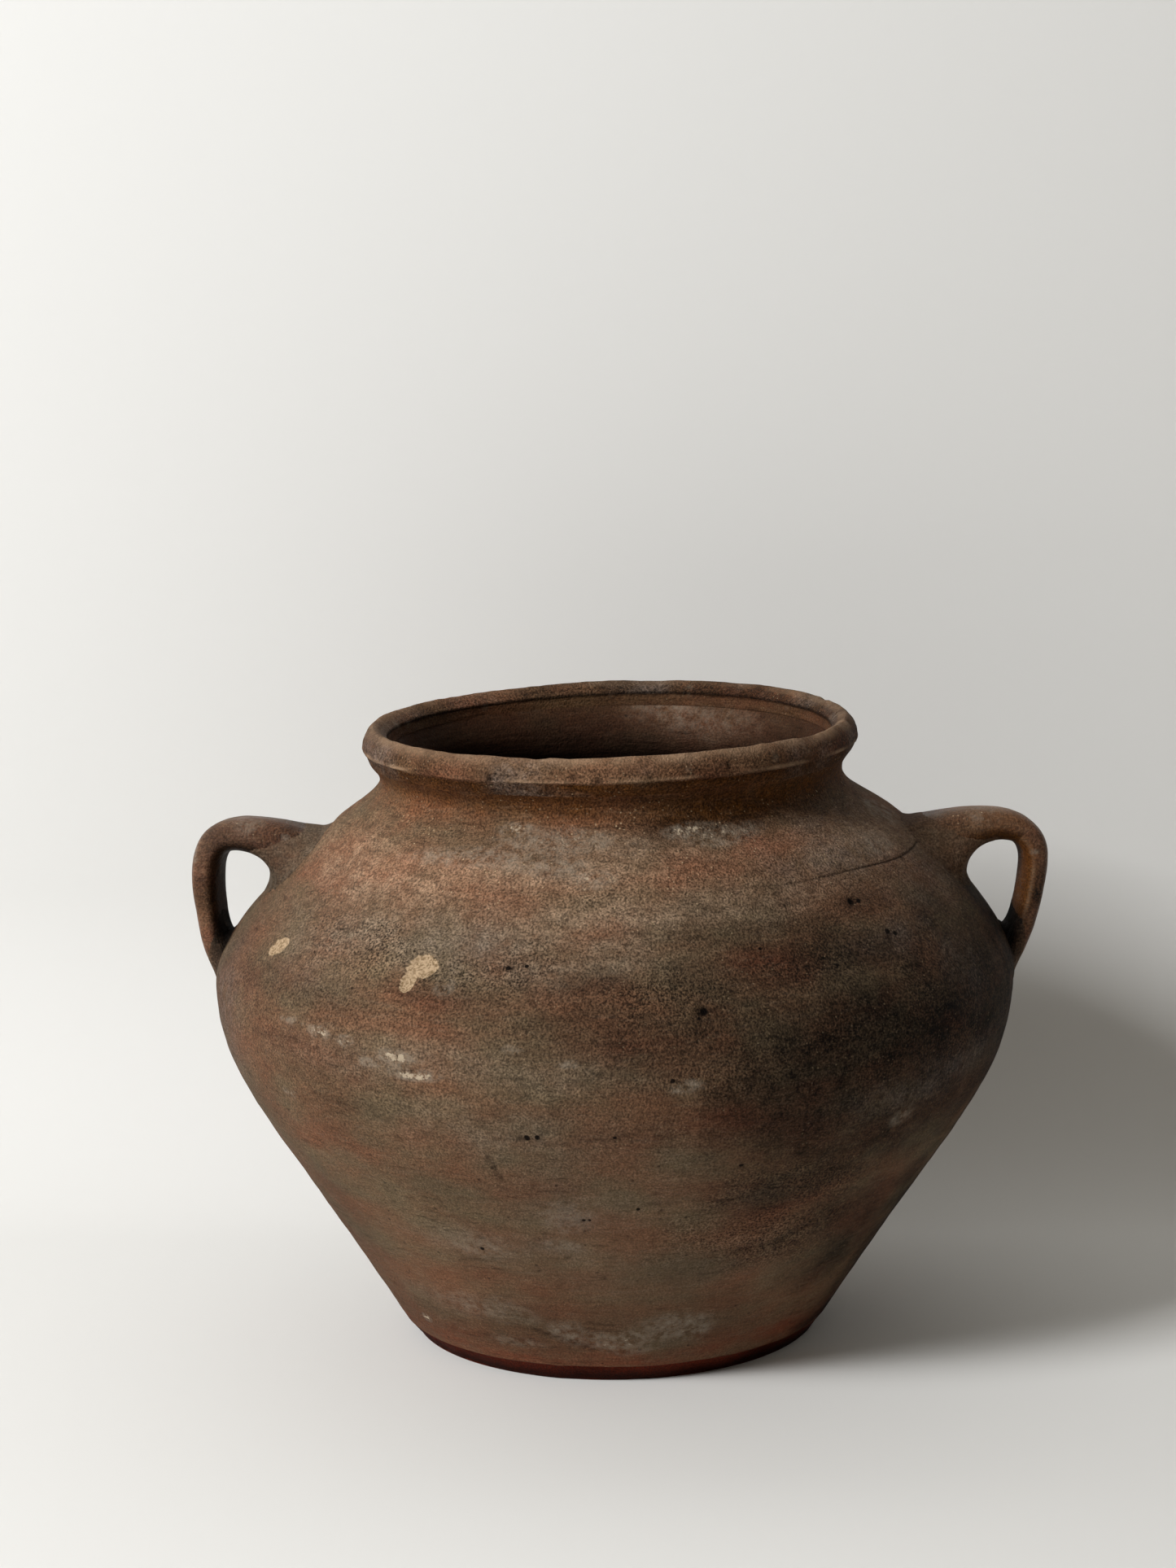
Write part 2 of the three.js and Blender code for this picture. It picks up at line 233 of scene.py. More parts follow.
def grid_faces(rows, columns, loop_rows):
    """Four-sided faces between the rows of a grid, whose columns close to a ring."""
    first = np.arange(rows if loop_rows else rows - 1)[:, None] * columns
    second = (first + columns) % (rows * columns)
    here = np.arange(columns)[None, :]
    after = (here + 1) % columns
    return np.stack([first + here, first + after, second + after, second + here], axis=-1).reshape(-1, 4)


def make_piece(name, points, faces, fields):
    """A mesh object from points in millimetres, smooth but sharp at its real edges."""
    mesh = bpy.data.meshes.new(name)
    mesh.from_pydata((np.asarray(points) * MM).tolist(), [], [tuple(f) for f in faces])
    mesh.polygons.foreach_set("use_smooth", [True] * len(mesh.polygons))
    mesh.set_sharp_from_angle(angle=math.radians(SHARP_ANGLE))
    for field in FIELDS:
        values = np.asarray(fields.get(field, 0.0)) + np.zeros(len(points))
        layer = mesh.attributes.new(field, "FLOAT", "POINT")
        layer.data.foreach_set("value", values.astype(np.float32))
    mesh.update()
    piece = bpy.data.objects.new(name, mesh)
    bpy.context.scene.collection.objects.link(piece)
    return piece


def rows_of(values):
    """One value for each row, repeated for all its columns."""
    return np.repeat(np.asarray(values, dtype=float), COLUMNS)


print("columns:", COLUMNS, "or", round(2 * math.pi * BELLY[0] / COLUMNS, 2), "mm at the belly")

# %% [markdown]
# ## Smoke and red clay
# Where flame and smoke met the wall it went dark, and where air met it the clay fired orange. The smoke
# spots on the right half also paint the shade of the side turned from the lamp, and those on the neck the
# shade under the rim. Each mark is a soft spot with a place, a size and a strength. A painted mask would
# need an image file. A list of spots needs none, and each one can be moved, widened or weakened by hand
# until it sits right. Turns are as seen from the camera, which stands a little to the right of the front.

# %% Smoke and red clay
CAMERA_TURN = 1.5
# Each spot: turn in degrees, height, half width and half height in millimetres, strength
# Spots of smoke. On the right half they also paint the shade of the side turned from the lamp, and on the
# neck, from 236 to 243 mm high, the shade under the rim
SMOKE = [(56, 150, 110, 56, 0.92), (32, 150, 86, 44, 0.84), (12, 166, 56, 22, 0.64),
         (34, 188, 64, 13, 0.78), (42, 116, 70, 28, 0.8), (82, 140, 70, 84, 0.96),
         (26, 132, 50, 22, 0.86), (30, 97, 44, 16, 0.68), (50, 66, 44, 30, 0.66),
         (76, 60, 56, 60, 0.92), (86, 172, 12, 9, 0.9), (-88, 170, 12, 9, 0.9), (22, 30, 40, 14, 0.2),
         (-2, 183, 26, 6, 0.55), (10, 182, 46, 12, 0.55), (0, 170, 40, 14, 0.45),
         (-44, 171, 40, 7, 0.28), (-60, 172, 30, 7, 0.3), (-26, 178, 30, 5, 0.3), (-18, 98, 46, 9, 0.1),
         (-34, 130, 30, 6, 0.12), (-5, 112, 40, 8, 0.1), (-1, 133, 30, 7, 0.15), (32, 62, 30, 9, 0.35),
         (28, 199, 50, 4, 0.45), (44, 203, 22, 5, 0.5), (60, 200, 30, 10, 0.15), (0, 24, 170, 14, 0.2),
         (24, 237, 34, 8, 0.95), (-7, 242, 26, 5, 0.5), (60, 240, 40, 9, 0.6), (40, 243, 60, 9, 0.92),
         (76, 13, 40, 9, 0.9), (-78, 150, 20, 60, 0.35), (-62, 60, 30, 40, 0.25), (-28, 20, 60, 7, 0.2),
         (150, 150, 90, 50, 0.7), (-140, 120, 70, 40, 0.6), (105, 110, 80, 60, 0.8),
         (-110, 170, 50, 16, 0.4), (180, 236, 90, 9, 0.6), (29, 238, 30, 7, 1.0), (11, 197, 24, 6, 0.3),
         (49, 155, 30, 24, 1.0), (48, 52, 24, 20, 0.75), (5, 124, 26, 8, 0.25), (16, 58, 26, 10, 0.3)]
WARM = [(-46, 218, 60, 10, 1.0), (-30, 212, 40, 8, 0.6), (-62, 205, 40, 14, 0.8), (12, 217, 60, 6, 0.6),
        (28, 222, 50, 8, 0.9), (-2, 201, 14, 5, 0.9), (22, 189, 16, 4, 1.0), (25, 181, 14, 4, 0.6),
        (-31, 166, 44, 6, 0.5), (-23, 176, 30, 5, 0.5), (-63, 143, 36, 16, 0.35),
        (-44, 152, 40, 7, 0.4), (4, 160, 18, 7, 0.7), (16, 130, 16, 6, 0.8), (29, 82, 26, 8, 0.8),
        (20, 77, 24, 6, 0.6), (44, 74, 26, 12, 0.7), (-4, 122, 46, 4, 0.5), (-39, 108, 30, 8, 0.55),
        (-22, 53, 46, 7, 0.65), (7, 51, 44, 6, 0.45), (-41, 21, 50, 8, 0.8), (-51, 12, 60, 6, 1.5),
        (0, 12, 110, 6, 1.5), (50, 13, 60, 7, 1.5), (-10, 38, 60, 8, 0.6), (-40, 240, 60, 9, 0.8),
        (0, 238, 50, 8, 0.5), (120, 215, 90, 18, 0.8), (-130, 210, 80, 20, 0.8), (170, 60, 90, 40, 0.5),
        (-95, 90, 60, 40, 0.4)]
print("smoked spots:", len(SMOKE), "red spots:", len(WARM))

# %% [markdown]
# ## Bloom, ash and lime
# Damp left a grey or olive bloom in wide low bands, ash settled on the sides, and grains of lime in the
# clay burst into white crusts. The ash spots at the outline, far left and far right, also paint the sheen
# that grazing light gives the dusty clay, and the lime spots high on the neck also paint glints. They are
# spots of the same kind. The crusts are only a few millimetres tall, so their spots are small and many.

# %% Bloom, ash and lime
BLOOM = [(-27, 199, 70, 11, 1.0), (-50, 212, 50, 11, 0.8), (0, 207, 60, 8, 1.0), (20, 208, 46, 7, 0.9),
         (-44, 193, 46, 11, 0.9), (-14, 189, 50, 8, 0.8), (-18, 220, 60, 7, 0.9), (0, 226, 50, 7, 0.9),
         (-30, 152, 60, 10, 0.6), (-8, 150, 44, 10, 0.5), (-6, 118, 50, 18, 0.4),
         (10, 62, 60, 18, 0.35), (-24, 70, 30, 10, 0.6), (-7, 88, 20, 10, 0.5), (14, 26, 20, 7, 0.7),
         (-36, 36, 30, 8, 0.5), (36, 212, 44, 7, 0.7), (56, 222, 40, 8, 0.8), (160, 190, 80, 18, 0.8),
         (-150, 160, 70, 30, 0.6), (100, 200, 60, 14, 0.7), (-100, 120, 60, 30, 0.5),
         (-13, 125, 40, 14, 0.65)]
# The spots at -73 degrees and at 57 to 76 degrees, near the outline, are ash and painted sheen
ASH = [(-73, 151, 26, 34, 1.1), (-21.5, 193, 9, 12, 0.7), (45, 128, 30, 7, 0.8), (57, 136, 26, 8, 0.8),
       (60, 172, 20, 14, 0.7), (50, 190, 24, 7, 0.6), (76, 130, 12, 40, 0.3), (-52, 178, 30, 8, 0.4),
       (50, 217, 44, 9, 1.0), (70, 208, 40, 16, 0.9), (60, 228, 40, 8, 0.9), (-7, 90, 10, 16, 0.5),
       (-10, 71, 10, 5, 0.7), (8, 90, 40, 12, 0.25), (-80, 100, 30, 40, 0.5), (130, 170, 60, 20, 0.6),
       (-160, 90, 60, 30, 0.5)]
# The spots from 218 to 233 mm high are lime and painted glints
LIME = [(-43, 158, 6, 2.8, 1.0), (-38, 157, 6, 2.6, 1.0), (-30, 154, 7, 3.2, 1.1),
        (-27, 148, 10, 3, 1.1), (-52, 128, 5, 2, 0.8), (14.3, 27, 15, 8, 0.62),
        (0.5, 22.5, 14, 6, 0.68), (-11, 26, 11, 7, 0.58), (5, 18, 14, 5, 0.4), (-9.4, 70.9, 8, 5, 0.45),
        (-23.7, 68, 18, 8, 0.4), (-25, 18, 14, 4, 0.4), (-7, 88, 10, 14, 0.35), (-30, 34, 26, 8, 0.35),
        (-52, 20.4, 3.5, 2, 1.2), (45, 119, 8, 5, 0.5), (-25, 180, 5, 4, 0.7), (9, 146, 7, 3, 0.75),
        (-6, 155, 5, 2, 0.6), (-21, 233, 9, 3, 0.9), (17, 232, 10, 3, 0.9), (78, 224, 14, 6, 0.7),
        (62, 219, 12, 5, 0.5), (-14, 160, 5, 2, 0.6), (-8, 229, 30, 5, 0.72), (26, 230, 20, 4, 0.72),
        (-22, 222, 40, 5, 0.62), (-5, 218, 12, 4, 0.72), (-48, 160, 8, 2, 0.7), (-34, 150, 6, 2, 0.8),
        (130, 150, 8, 4, 0.8), (-110, 130, 8, 4, 0.8), (170, 100, 10, 5, 0.8)]
print("bloom spots:", len(BLOOM), "ash spots:", len(ASH), "lime spots:", len(LIME))

# %% [markdown]
# ## Sand and flakes
# Sand stands open where the slip was wiped off, most of all on the shoulder and in the smoked side. Two
# flakes came off at the left and show the fresh clay, each one drawn from a few small spots so that it
# isn't round.

# %% Sand and flakes
SAND = [(-42, 190, 46, 15, 1.0), (-18, 186, 50, 19, 1.0), (6, 178, 46, 18, 1.0), (26, 186, 46, 16, 0.9),
        (46, 160, 80, 44, 1.0), (16, 152, 50, 20, 0.9), (-5, 212, 90, 14, 0.75), (28, 72, 50, 22, 1.0),
        (30, 98, 50, 18, 0.9), (150, 180, 120, 26, 0.9), (-120, 185, 100, 20, 0.9)]
CHIP = [(-61.9, 181.1, 3.6, 2.6, 1.0), (-61.1, 182.8, 5.2, 3.3, 1.0), (-60.4, 184.2, 4.6, 2.6, 1.0),
        (-30.2, 186.4, 7.6, 4.8, 1.0), (-31.3, 181.0, 3.3, 4.8, 1.0)]
print("sandy spots:", len(SAND), "spots of the flakes:", len(CHIP))

# %% [markdown]
# ## From spots to the mesh
# A round spot would look like a sticker. So the distance to its middle is bent by noise at two sizes
# before it is turned to a strength, and where spots overlap the strongest one counts. The wall leans, so
# a step in height is taken as a little more than that along the wall.

# %% Ragged spots
# The way up the wall for each millimetre of height
CLIMB = 1.15


def away(turn, height, spot_turn, spot_height):
    """Distances in millimetres along the turn and up the wall from a spot."""
    gap = (turn - math.radians(spot_turn + CAMERA_TURN) + math.pi) % (2 * math.pi) - math.pi
    return gap * wall_radius(spot_height), (height - spot_height) * CLIMB


def spots(turn, height, places, ragged, base, seed, sharp=1.0):
    """The strongest spot at each vertex, with a ragged edge."""
    field = np.zeros(len(turn))
    shift_a = ragged * noise(base, 26, seed) + 0.5 * ragged * noise(base, 9, seed + 1)
    shift_b = ragged * noise(base, 22, seed + 2) + 0.5 * ragged * noise(base, 8, seed + 3)
    for spot_turn, spot_height, wide, tall, strength in places:
        across, up = away(turn, height, spot_turn, spot_height)
        reach = ((across + shift_a * wide) / wide) ** 2 + ((up + shift_b * tall) / tall) ** 2
        field = np.maximum(field, strength * np.exp(-reach ** sharp))
    return field


front_spot = away(np.array([0.0]), np.array([BELLY[1]]), 0, BELLY[1])
print("the camera's turn moves a spot at the belly by", round(-float(front_spot[0][0]), 1), "mm")

# %% [markdown]
# ## Fields of the outer face
# Now each kind of mark becomes one number at every vertex. Under the rim, all round, the neck is darker
# and browner, partly as painted shade of the rim and partly because smoke and greasy hands gathered
# there, so it gets a ring of its own besides the spots.

# %% Fields of the outer face
# Heights of the ring of painted shade and dirt under the rim and of the brown one below it, and their reach
NECK_RING = (248, 8)
UMBER_RING = (243, 9)


def wall_fields(turn, height, base):
    """What the clay reads on the outer face."""
    # Painted shade of the rim, with dirt, in a dark ring under it
    under_rim_shade_and_dirt = 0.46 * np.exp(-((height - NECK_RING[0]) / NECK_RING[1]) ** 2) * (1 + 0.3 * noise(base, 24, 17))
    umber = np.exp(-((height - UMBER_RING[0]) / UMBER_RING[1]) ** 2)
    return {
        "smoke_and_shade": np.maximum(spots(turn, height, SMOKE, 0.3, base, 11, 1.5), under_rim_shade_and_dirt),
        "warm": np.maximum(spots(turn, height, WARM, 0.5, base, 21), 1.7 * under_rim_shade_and_dirt),
        "bloom": spots(turn, height, BLOOM, 0.45, base, 31),
        "ash_and_sheen": spots(turn, height, ASH, 0.4, base, 35),
        "lime_and_glint": spots(turn, height, LIME, 0.5, base, 41, 1.7),
        "chip": spots(turn, height, CHIP, 0.2, base, 51, 2.0),
        "sand": np.maximum(np.interp(height, [60, 110, 170], [0.26, 0.4, 0.62]),
                           spots(turn, height, SAND, 0.4, base, 61)),
        "umber": umber * (0.75 + 0.35 * noise(base, 20, 18)),
        "speck": np.interp(height, [0, 195, 215, 240, 250], [0.15, 0.3, 1.0, 0.8, 0.2]),
    }


print("all spots:", sum(map(len, (SMOKE, WARM, BLOOM, ASH, LIME, SAND, CHIP))))

# %% [markdown]
# ## Pits and scratches
# Grit fell out and left a few hundred pits, and use left scratches. Bump alone would look flat at the
# outline and under side light, so all that is wider than about two millimetres is moved in the mesh, and
# only grain is left to the finish. The pits are thrown by a seeded dice, apart from the ones that catch
# the eye.

# %% Pits and scratches
# Number of pits, and half the width of a scratch
PITS = 260
SCRATCH_REACH = 1.1
# Each scratch: turn and height of both ends, and depth
SCRATCHES = [(-18.3, 115, -16.9, 104, 0.6), (-13.4, 123.9, -12.6, 124.2, 0.6),
             (-10.4, 125, -9.9, 125.2, 0.4), (-5.4, 124.2, 0.6, 124, 0.3), (-6, 84.8, -4.6, 85.2, 0.5),
             (-46, 132, -38, 129, 0.3), (20, 118, 27, 116, 0.35), (-60, 150, -48, 153, 0.3),
             (2, 92, 9, 93, 0.25), (21.6, 66, 28.1, 65.8, 0.5), (28.1, 65.8, 35.9, 74.1, 0.4),
             (-30, 60, -22, 62, 0.3), (-19, 26.2, -5.3, 16.9, 0.5), (16, 91.4, 17.6, 91.8, 0.6),
             (60, 100, 74, 96, 0.3)]
# The pits that catch the eye: turn, height, reach and depth
SHOWN_PITS = [(11.3, 173.3, 2.2, 1.5), (41.9, 203.7, 2.4, 1.2), (45.6, 189.9, 2.0, 0.9),
              (-15.7, 188.5, 1.4, 0.7), (-12.5, 187.4, 1.4, 0.7), (18.1, 108.5, 1.6, 0.9),
              (6.9, 89.1, 1.4, 0.8)]
pit_dice = np.random.default_rng(4)
pit_spots = np.stack([pit_dice.uniform(-180, 180, PITS), pit_dice.uniform(14, 228, PITS),
                      pit_dice.uniform(0.9, 1.9, PITS), pit_dice.uniform(0.25, 0.6, PITS)], axis=1)
pit_spots[:len(SHOWN_PITS)] = SHOWN_PITS


def pits_at(turn, height):
    """Depth of the pits at each vertex."""
    depth = np.zeros(len(turn))
    for spot_turn, spot_height, reach, deep in pit_spots:
        near = np.abs(height - spot_height) < 2 * reach
        across, up = away(turn[near], height[near], spot_turn, spot_height)
        depth[near] = np.maximum(depth[near], deep * np.exp(-(across ** 2 + up ** 2) / (0.5 * reach ** 2)))
    return depth


def scratches_at(turn, height):
    """Depth of the scratches at each vertex."""
    depth = np.zeros(len(turn))
    for turn_a, height_a, turn_b, height_b, deep in SCRATCHES:
        across, up = away(turn, height, turn_a, height_a)
        run_across = math.radians(turn_b - turn_a) * wall_radius(height_a)
        run_up = (height_b - height_a) * CLIMB
        share = np.clip((across * run_across + up * run_up) / (run_across ** 2 + run_up ** 2), 0, 1)
        gap = np.hypot(across - share * run_across, up - share * run_up)
        depth = np.maximum(depth, deep * np.exp(-(gap / SCRATCH_REACH) ** 2))
    return depth


print("pits:", PITS, "scratches:", len(SCRATCHES))

# %% [markdown]
# ## Dents, finger rings and the seam
# Both faces have soft dents and finger rings that run round with the turn, deeper inside, where the
# fingers pressed. The seam of the shoulder shows as a hairline at the right only, where the joint opened
# a little in drying. Elsewhere it was wiped over, so its depth follows the turn.

# %% Dents, finger rings and the seam
# Turns in degrees between which the hairline opens and closes again, and half its width in millimetres
SEAM_OPENS = (4, 54)
SEAM_CLOSES = (84, 96)
HAIRLINE = 0.45


def finger_rings(base, seed, pitch):
    """Noise drawn out round the turn, in rings of about the given pitch."""
    return noise(base, (150, 150, pitch), seed) + 0.6 * noise(base, (90, 90, pitch * 0.45), seed + 1)


def soft_outside(base):
    """Dents and finger rings of the outer face."""
    return (0.75 * noise(base, 70, 1) + 0.3 * noise(base, 26, 2) + 0.07 * noise(base, 5, 3)
            + 0.14 * finger_rings(base, 4, 6.5))


def soft_inside(base):
    """Dents and the deeper finger rings of the inner face."""
    rings = 0.28 * finger_rings(base, 62, 7.0)
    return 0.5 * noise(base, 60, 61) + rings + 0.12 * finger_rings(base, 64, 2.4)


def seam_dip(turn, climb):
    """Depth of the hairline at the shoulder seam, by the way climbed from the seam."""
    degrees = np.degrees(turn)
    opened = np.clip((degrees - SEAM_OPENS[0]) / (SEAM_OPENS[1] - SEAM_OPENS[0]), 0, 1) ** 1.3
    shown = opened * np.clip((SEAM_CLOSES[1] - degrees) / (SEAM_CLOSES[1] - SEAM_CLOSES[0]), 0, 1)
    return (0.03 + 0.34 * shown) * np.exp(-(climb / HAIRLINE) ** 2)


print("deepest seam:", round(float(seam_dip(np.radians(np.arange(0, 100)), 0.0).max()), 2), "mm")

# %% [markdown]
# ## Rows of a thrown ring
# The wall was thrown in two rings that meet at the shoulder seam. Even rows would be too far apart to
# draw a hairline, and fine rows everywhere would make a heavy mesh. So the rows are even but for a few
# close ones on each side of the seam.

# %% Rows of a ring
# Distances of the close rows from the seam, and the room that they need
SEAM_ROWS = np.array([0.0, 0.35, 0.75, 1.4])
SEAM_ROOM = SEAM_ROWS[-1] + 0.3


def rows_between(low, high, step):
    """Ways along the wall at which a ring has its rows."""
    rows = np.linspace(low, high, max(2, round((high - low) / step) + 1))
    near = np.concatenate([seam_travel - SEAM_ROWS, seam_travel + SEAM_ROWS])
    rows = rows[np.abs(rows - seam_travel) > SEAM_ROOM]
    return np.unique(np.concatenate([rows, near[(near >= low) & (near <= high)]]))


print("close rows at the seam:", 2 * len(SEAM_ROWS) - 1)

# %% [markdown]
# ## The inside
# The inside was never wiped or rubbed. It is red brown, painted darker with depth as the shade inside the
# pot, and one pale place below the lip at the back is a painted highlight, laid on with the ash and lime
# hues. Most of it is out of the light, so a few numbers and two spots do what the outer face needs long
# lists for.

# %% Fields of the inner face
# Painted highlight on the inner back wall below the lip: turn, height, half width, half height, strength
INSIDE_HIGHLIGHT = [(163, 247, 22, 5, 1.0), (150, 245, 26, 5, 0.7)]
# One number for all of the inner face, or pairs of a height and the number there
# Painted shade: the inside grows darker with depth
INSIDE = {"grime_and_shade": np.array([[150, 1.0], [234, 1.0], [243, 0.82], [249, 0.6], [258, 0.35]]), "warm": 0.9,
          "bloom": 0.1, "sand": 0.4, "gloss": 0.3, "umber": np.array([[236, 0.0], [246, 0.45]])}


def inside_fields(turn, height, base):
    """What the clay reads on the inner face."""
    # The painted highlight is laid on with the ash and lime hues, and takes away part of the painted shade
    pale = spots(turn, height, INSIDE_HIGHLIGHT, 0.4, base, 57)
    fields = {"ash_and_sheen": 0.45 * pale, "lime_and_glint": 0.45 * pale}
    for field, value in INSIDE.items():
        if isinstance(value, np.ndarray):
            value = np.interp(height, value[:, 0], value[:, 1])
        fields[field] = value
    fields["grime_and_shade"] = fields["grime_and_shade"] * (1 - 0.85 * np.clip(pale, 0, 1))
    return fields


print("fields inside:", ", ".join(INSIDE))

# %% [markdown]
# ## The outer face
# The outer face stands off its line by its dents and rings, sinks at pits, scratches, flakes and the
# seam, and rises a little at lime crusts. The same numbers also make the hollows darker.

# %% Relief of the outer face
# How deep the flakes are and how high the crusts stand
FLAKE_DEPTH = 0.9
CRUST_RISE = 0.25


def outer_face(turn, height, climb, base):
    """How far the outer face stands off its line, and what the clay reads there."""
    fields = wall_fields(turn, height, base)
    pits, scratches, seam = pits_at(turn, height), scratches_at(turn, height), seam_dip(turn, climb)
    flaked, crusted = np.clip(fields["chip"] * 2.2 - 0.7, 0, 1), np.clip(fields["lime_and_glint"] - 0.4, 0, 1)
    push = soft_outside(base) - pits - scratches - seam
    push -= FLAKE_DEPTH * flaked - CRUST_RISE * crusted
    # The hollows of the seam, pits and scratches are darker
    fields["grime_and_shade"] = np.maximum(seam * 2.1, np.maximum(pits * 0.9, scratches * 1.1))
    return push, fields


print("flakes are", FLAKE_DEPTH, "mm deep, crusts", CRUST_RISE, "mm high")

# %% [markdown]
# ## A thrown ring
# A ring is one closed grid: outer face up, joint face, inner face down. Near the seam its rows wander up
# and down by a millimetre, as a joint closed by hand does. Turning a flat profile with a modifier would
# be shorter, but then every column would be the same, and no mark could sit at one place of the wall.

# %% A thrown ring
WALL = 8.0
# The wall grows thicker towards the rim, from this height on and over this many millimetres
THICKER_AT_RIM = 1.6
THICKER_FROM = 238.0
THICKER_RUN = 10.0
# How far the rows wander at the seam, and how far from it they still do
WANDER = 0.9
WANDER_REACH = 9.0


def turned_ring(name, low, high, step, inner_step):
    """A thrown ring between two ways along the wall."""
    outer = rows_between(low, high, step)
    inner = np.linspace(high, low, round((high - low) / inner_step) + 1)
    rows = len(outer) + len(inner)
    travel, turn = rows_of(np.concatenate([outer, inner])), np.tile(turns, rows)
    front = rows_of(np.arange(rows) < len(outer)) > 0.5
    wander = WANDER * noise(np.stack([30 * turn, 0 * turn, 0 * turn], axis=-1), 9, 66)
    climb = travel - seam_travel
    travel = np.clip(travel + wander * np.exp(-(climb / WANDER_REACH) ** 2), 0, wall_travel[-1])
    radius, height, out_r, out_z = wall_at(travel)
    thicker = THICKER_AT_RIM * np.clip((height - THICKER_FROM) / THICKER_RUN, 0, 1)
    depth = np.where(front, 0.0, -WALL - thicker)
    base = on_pot(turn, radius + depth * out_r, height + depth * out_z)
    push, shown = outer_face(turn, height, climb, base)
    push = np.where(front, push, soft_inside(base))
    hidden = inside_fields(turn, height, base)
    fields = {field: np.where(front, shown.get(field, 0.0), hidden.get(field, 0.0)) for field in FIELDS}
    points = on_pot(turn, radius + (depth + push) * out_r, height + (depth + push) * out_z)
    piece = make_piece(name, points, grid_faces(rows, COLUMNS, True), fields)
    print(name, "rows", len(outer), "outside and", len(inner), "inside, faces", len(piece.data.polygons))
    return piece


print("wall", WALL, "mm thick,", WALL + THICKER_AT_RIM, "mm at the rim")

# %% [markdown]
# ## Body, shoulder and neck
# The body is the big ring from the slab up to the shoulder seam, and its inside lies in the dark, so few
# rows do there. The shoulder and neck are the second ring. Its inside shows through the mouth, with the
# rings that fingers leave in a neck, so there the inner face is as fine as the outer one.

# %% Body, shoulder and neck
body_wall = turned_ring("body_wall_thrown", 0.0, seam_travel, 1.75, 11.0)
shoulder_neck = turned_ring("shoulder_neck_thrown", seam_travel, wall_travel[-1], 1.2, 1.2)

# %% [markdown]
# ## The line of the rim band
# The neck flares out and ends in a band that was pressed on and turned: a small step below, a leaning
# face, a rounded crest and a fall inward to the lip. A torus would be too even, so the line is drawn
# corner by corner, with a step between points that is finest at the sharp lower edge.

# %% Line of the rim band
# Radius and height of the places where the line turns
CREST = np.array([100.4, 263.3])
WIDEST = np.array([105.1, 254.4])
BAND_EDGE = np.array([104.3, 253.4])
LIP = np.array([94.9, 259.6])
BELOW_LIP = np.array([94.3, 258.3])


def corner(start, control, end, count=40):
    """A curve that leaves its start towards the control point and bends to its end."""
    return bezier(start, start + (control - start) * 2 / 3, end + (control - end) * 2 / 3, end, count)


inner_seat = SEAT - wall_out[-1] * (WALL + THICKER_AT_RIM)
band_line = np.concatenate([
    evenly(corner(SEAT, SEAT + flare_way * 3.5, BAND_EDGE), 0.7),
    evenly(corner(BAND_EDGE, np.array([WIDEST[0] + 0.1, BAND_EDGE[1] + 0.2]), WIDEST), 0.3)[1:],
    evenly(corner(WIDEST, np.array([WIDEST[0] - 0.5, CREST[1] - 2.3]), CREST), 0.6)[1:],
    evenly(corner(CREST, np.array([CREST[0] - 2.2, CREST[1] + 0.1]), LIP), 0.6)[1:],
    evenly(corner(LIP, LIP - (0.6, 0.3), BELOW_LIP), 0.45)[1:],
    evenly(corner(BELOW_LIP, np.array([94.2, 255.6]), inner_seat), 0.9)[1:],
])
print("rim band rows:", len(band_line))

# %% [markdown]
# ## Relief of the rim band
# Each vertex of the band is pushed by dents and turning rings, sunk at pits, and nicked along the crest,
# and the whole crest rises and falls by less than a millimetre. At both ends of the line the band takes
# over the push of the wall that it sits on, so that no step shows where they meet.

# %% Relief of the rim band
# Turn, height and reach of the pits that show on the band
RIM_PITS = [(-27.3, 255.0, 1.5), (-26.0, 257.2, 0.7), (-2.5, 254.9, 1.2), (9, 255.4, 0.7),
            (27, 257.6, 0.9), (150, 257, 1.3)]
# Depths of pits and nicks, the radius within which the inner side begins, and the reach of the joint
PIT_DEPTH = 1.1
NICK_DEPTH = 1.5
INNER_RADIUS = 97.0
JOIN_REACH = 1.6
turn = np.tile(turns, len(band_line))
radius, height = rows_of(band_line[:, 0]), rows_of(band_line[:, 1])
base = on_pot(turn, radius, height)
outside = radius > INNER_RADIUS
rim_pits = np.zeros(len(turn))
for pit_turn, pit_height, reach in RIM_PITS:
    across = (turn - math.radians(pit_turn + CAMERA_TURN)) * WIDEST[0]
    gap = np.hypot(across / reach, (height - pit_height) / reach)
    rim_pits = np.maximum(rim_pits, np.exp(-gap ** 2) * outside)
nick = np.clip(noise(base, 9, 71) - 0.42, 0, 1) * np.clip((height - 257) / 4, 0, 1)
push = 0.25 * noise(base, 40, 72) + 0.25 * noise(base, 11, 73) + 0.16 * noise(base, 3.5, 74)
push -= NICK_DEPTH * nick
push += 0.1 * finger_rings(base, 75, 2.2)
push -= PIT_DEPTH * rim_pits
band_travel = rows_of(travel_of(band_line))
for soft, ends in ((soft_outside(base), band_travel), (soft_inside(base), band_travel[-1] - band_travel)):
    near = np.exp(-(ends / JOIN_REACH) ** 2)
    push = push * (1 - near) + soft * near
band_out = sideways(band_line)
band_points = on_pot(turn, radius + push * rows_of(band_out[:, 0]), height + push * rows_of(band_out[:, 1]))
wobble = 0.45 * np.cos(2 * turn + 0.6) + 0.3 * np.sin(3 * turn)
band_points[:, 2] += np.clip((height - SEAT[1] - 3) / 8, 0, 1) * wobble
print("rim band top:", round(float(band_points[:, 2].max()), 1), "mm")

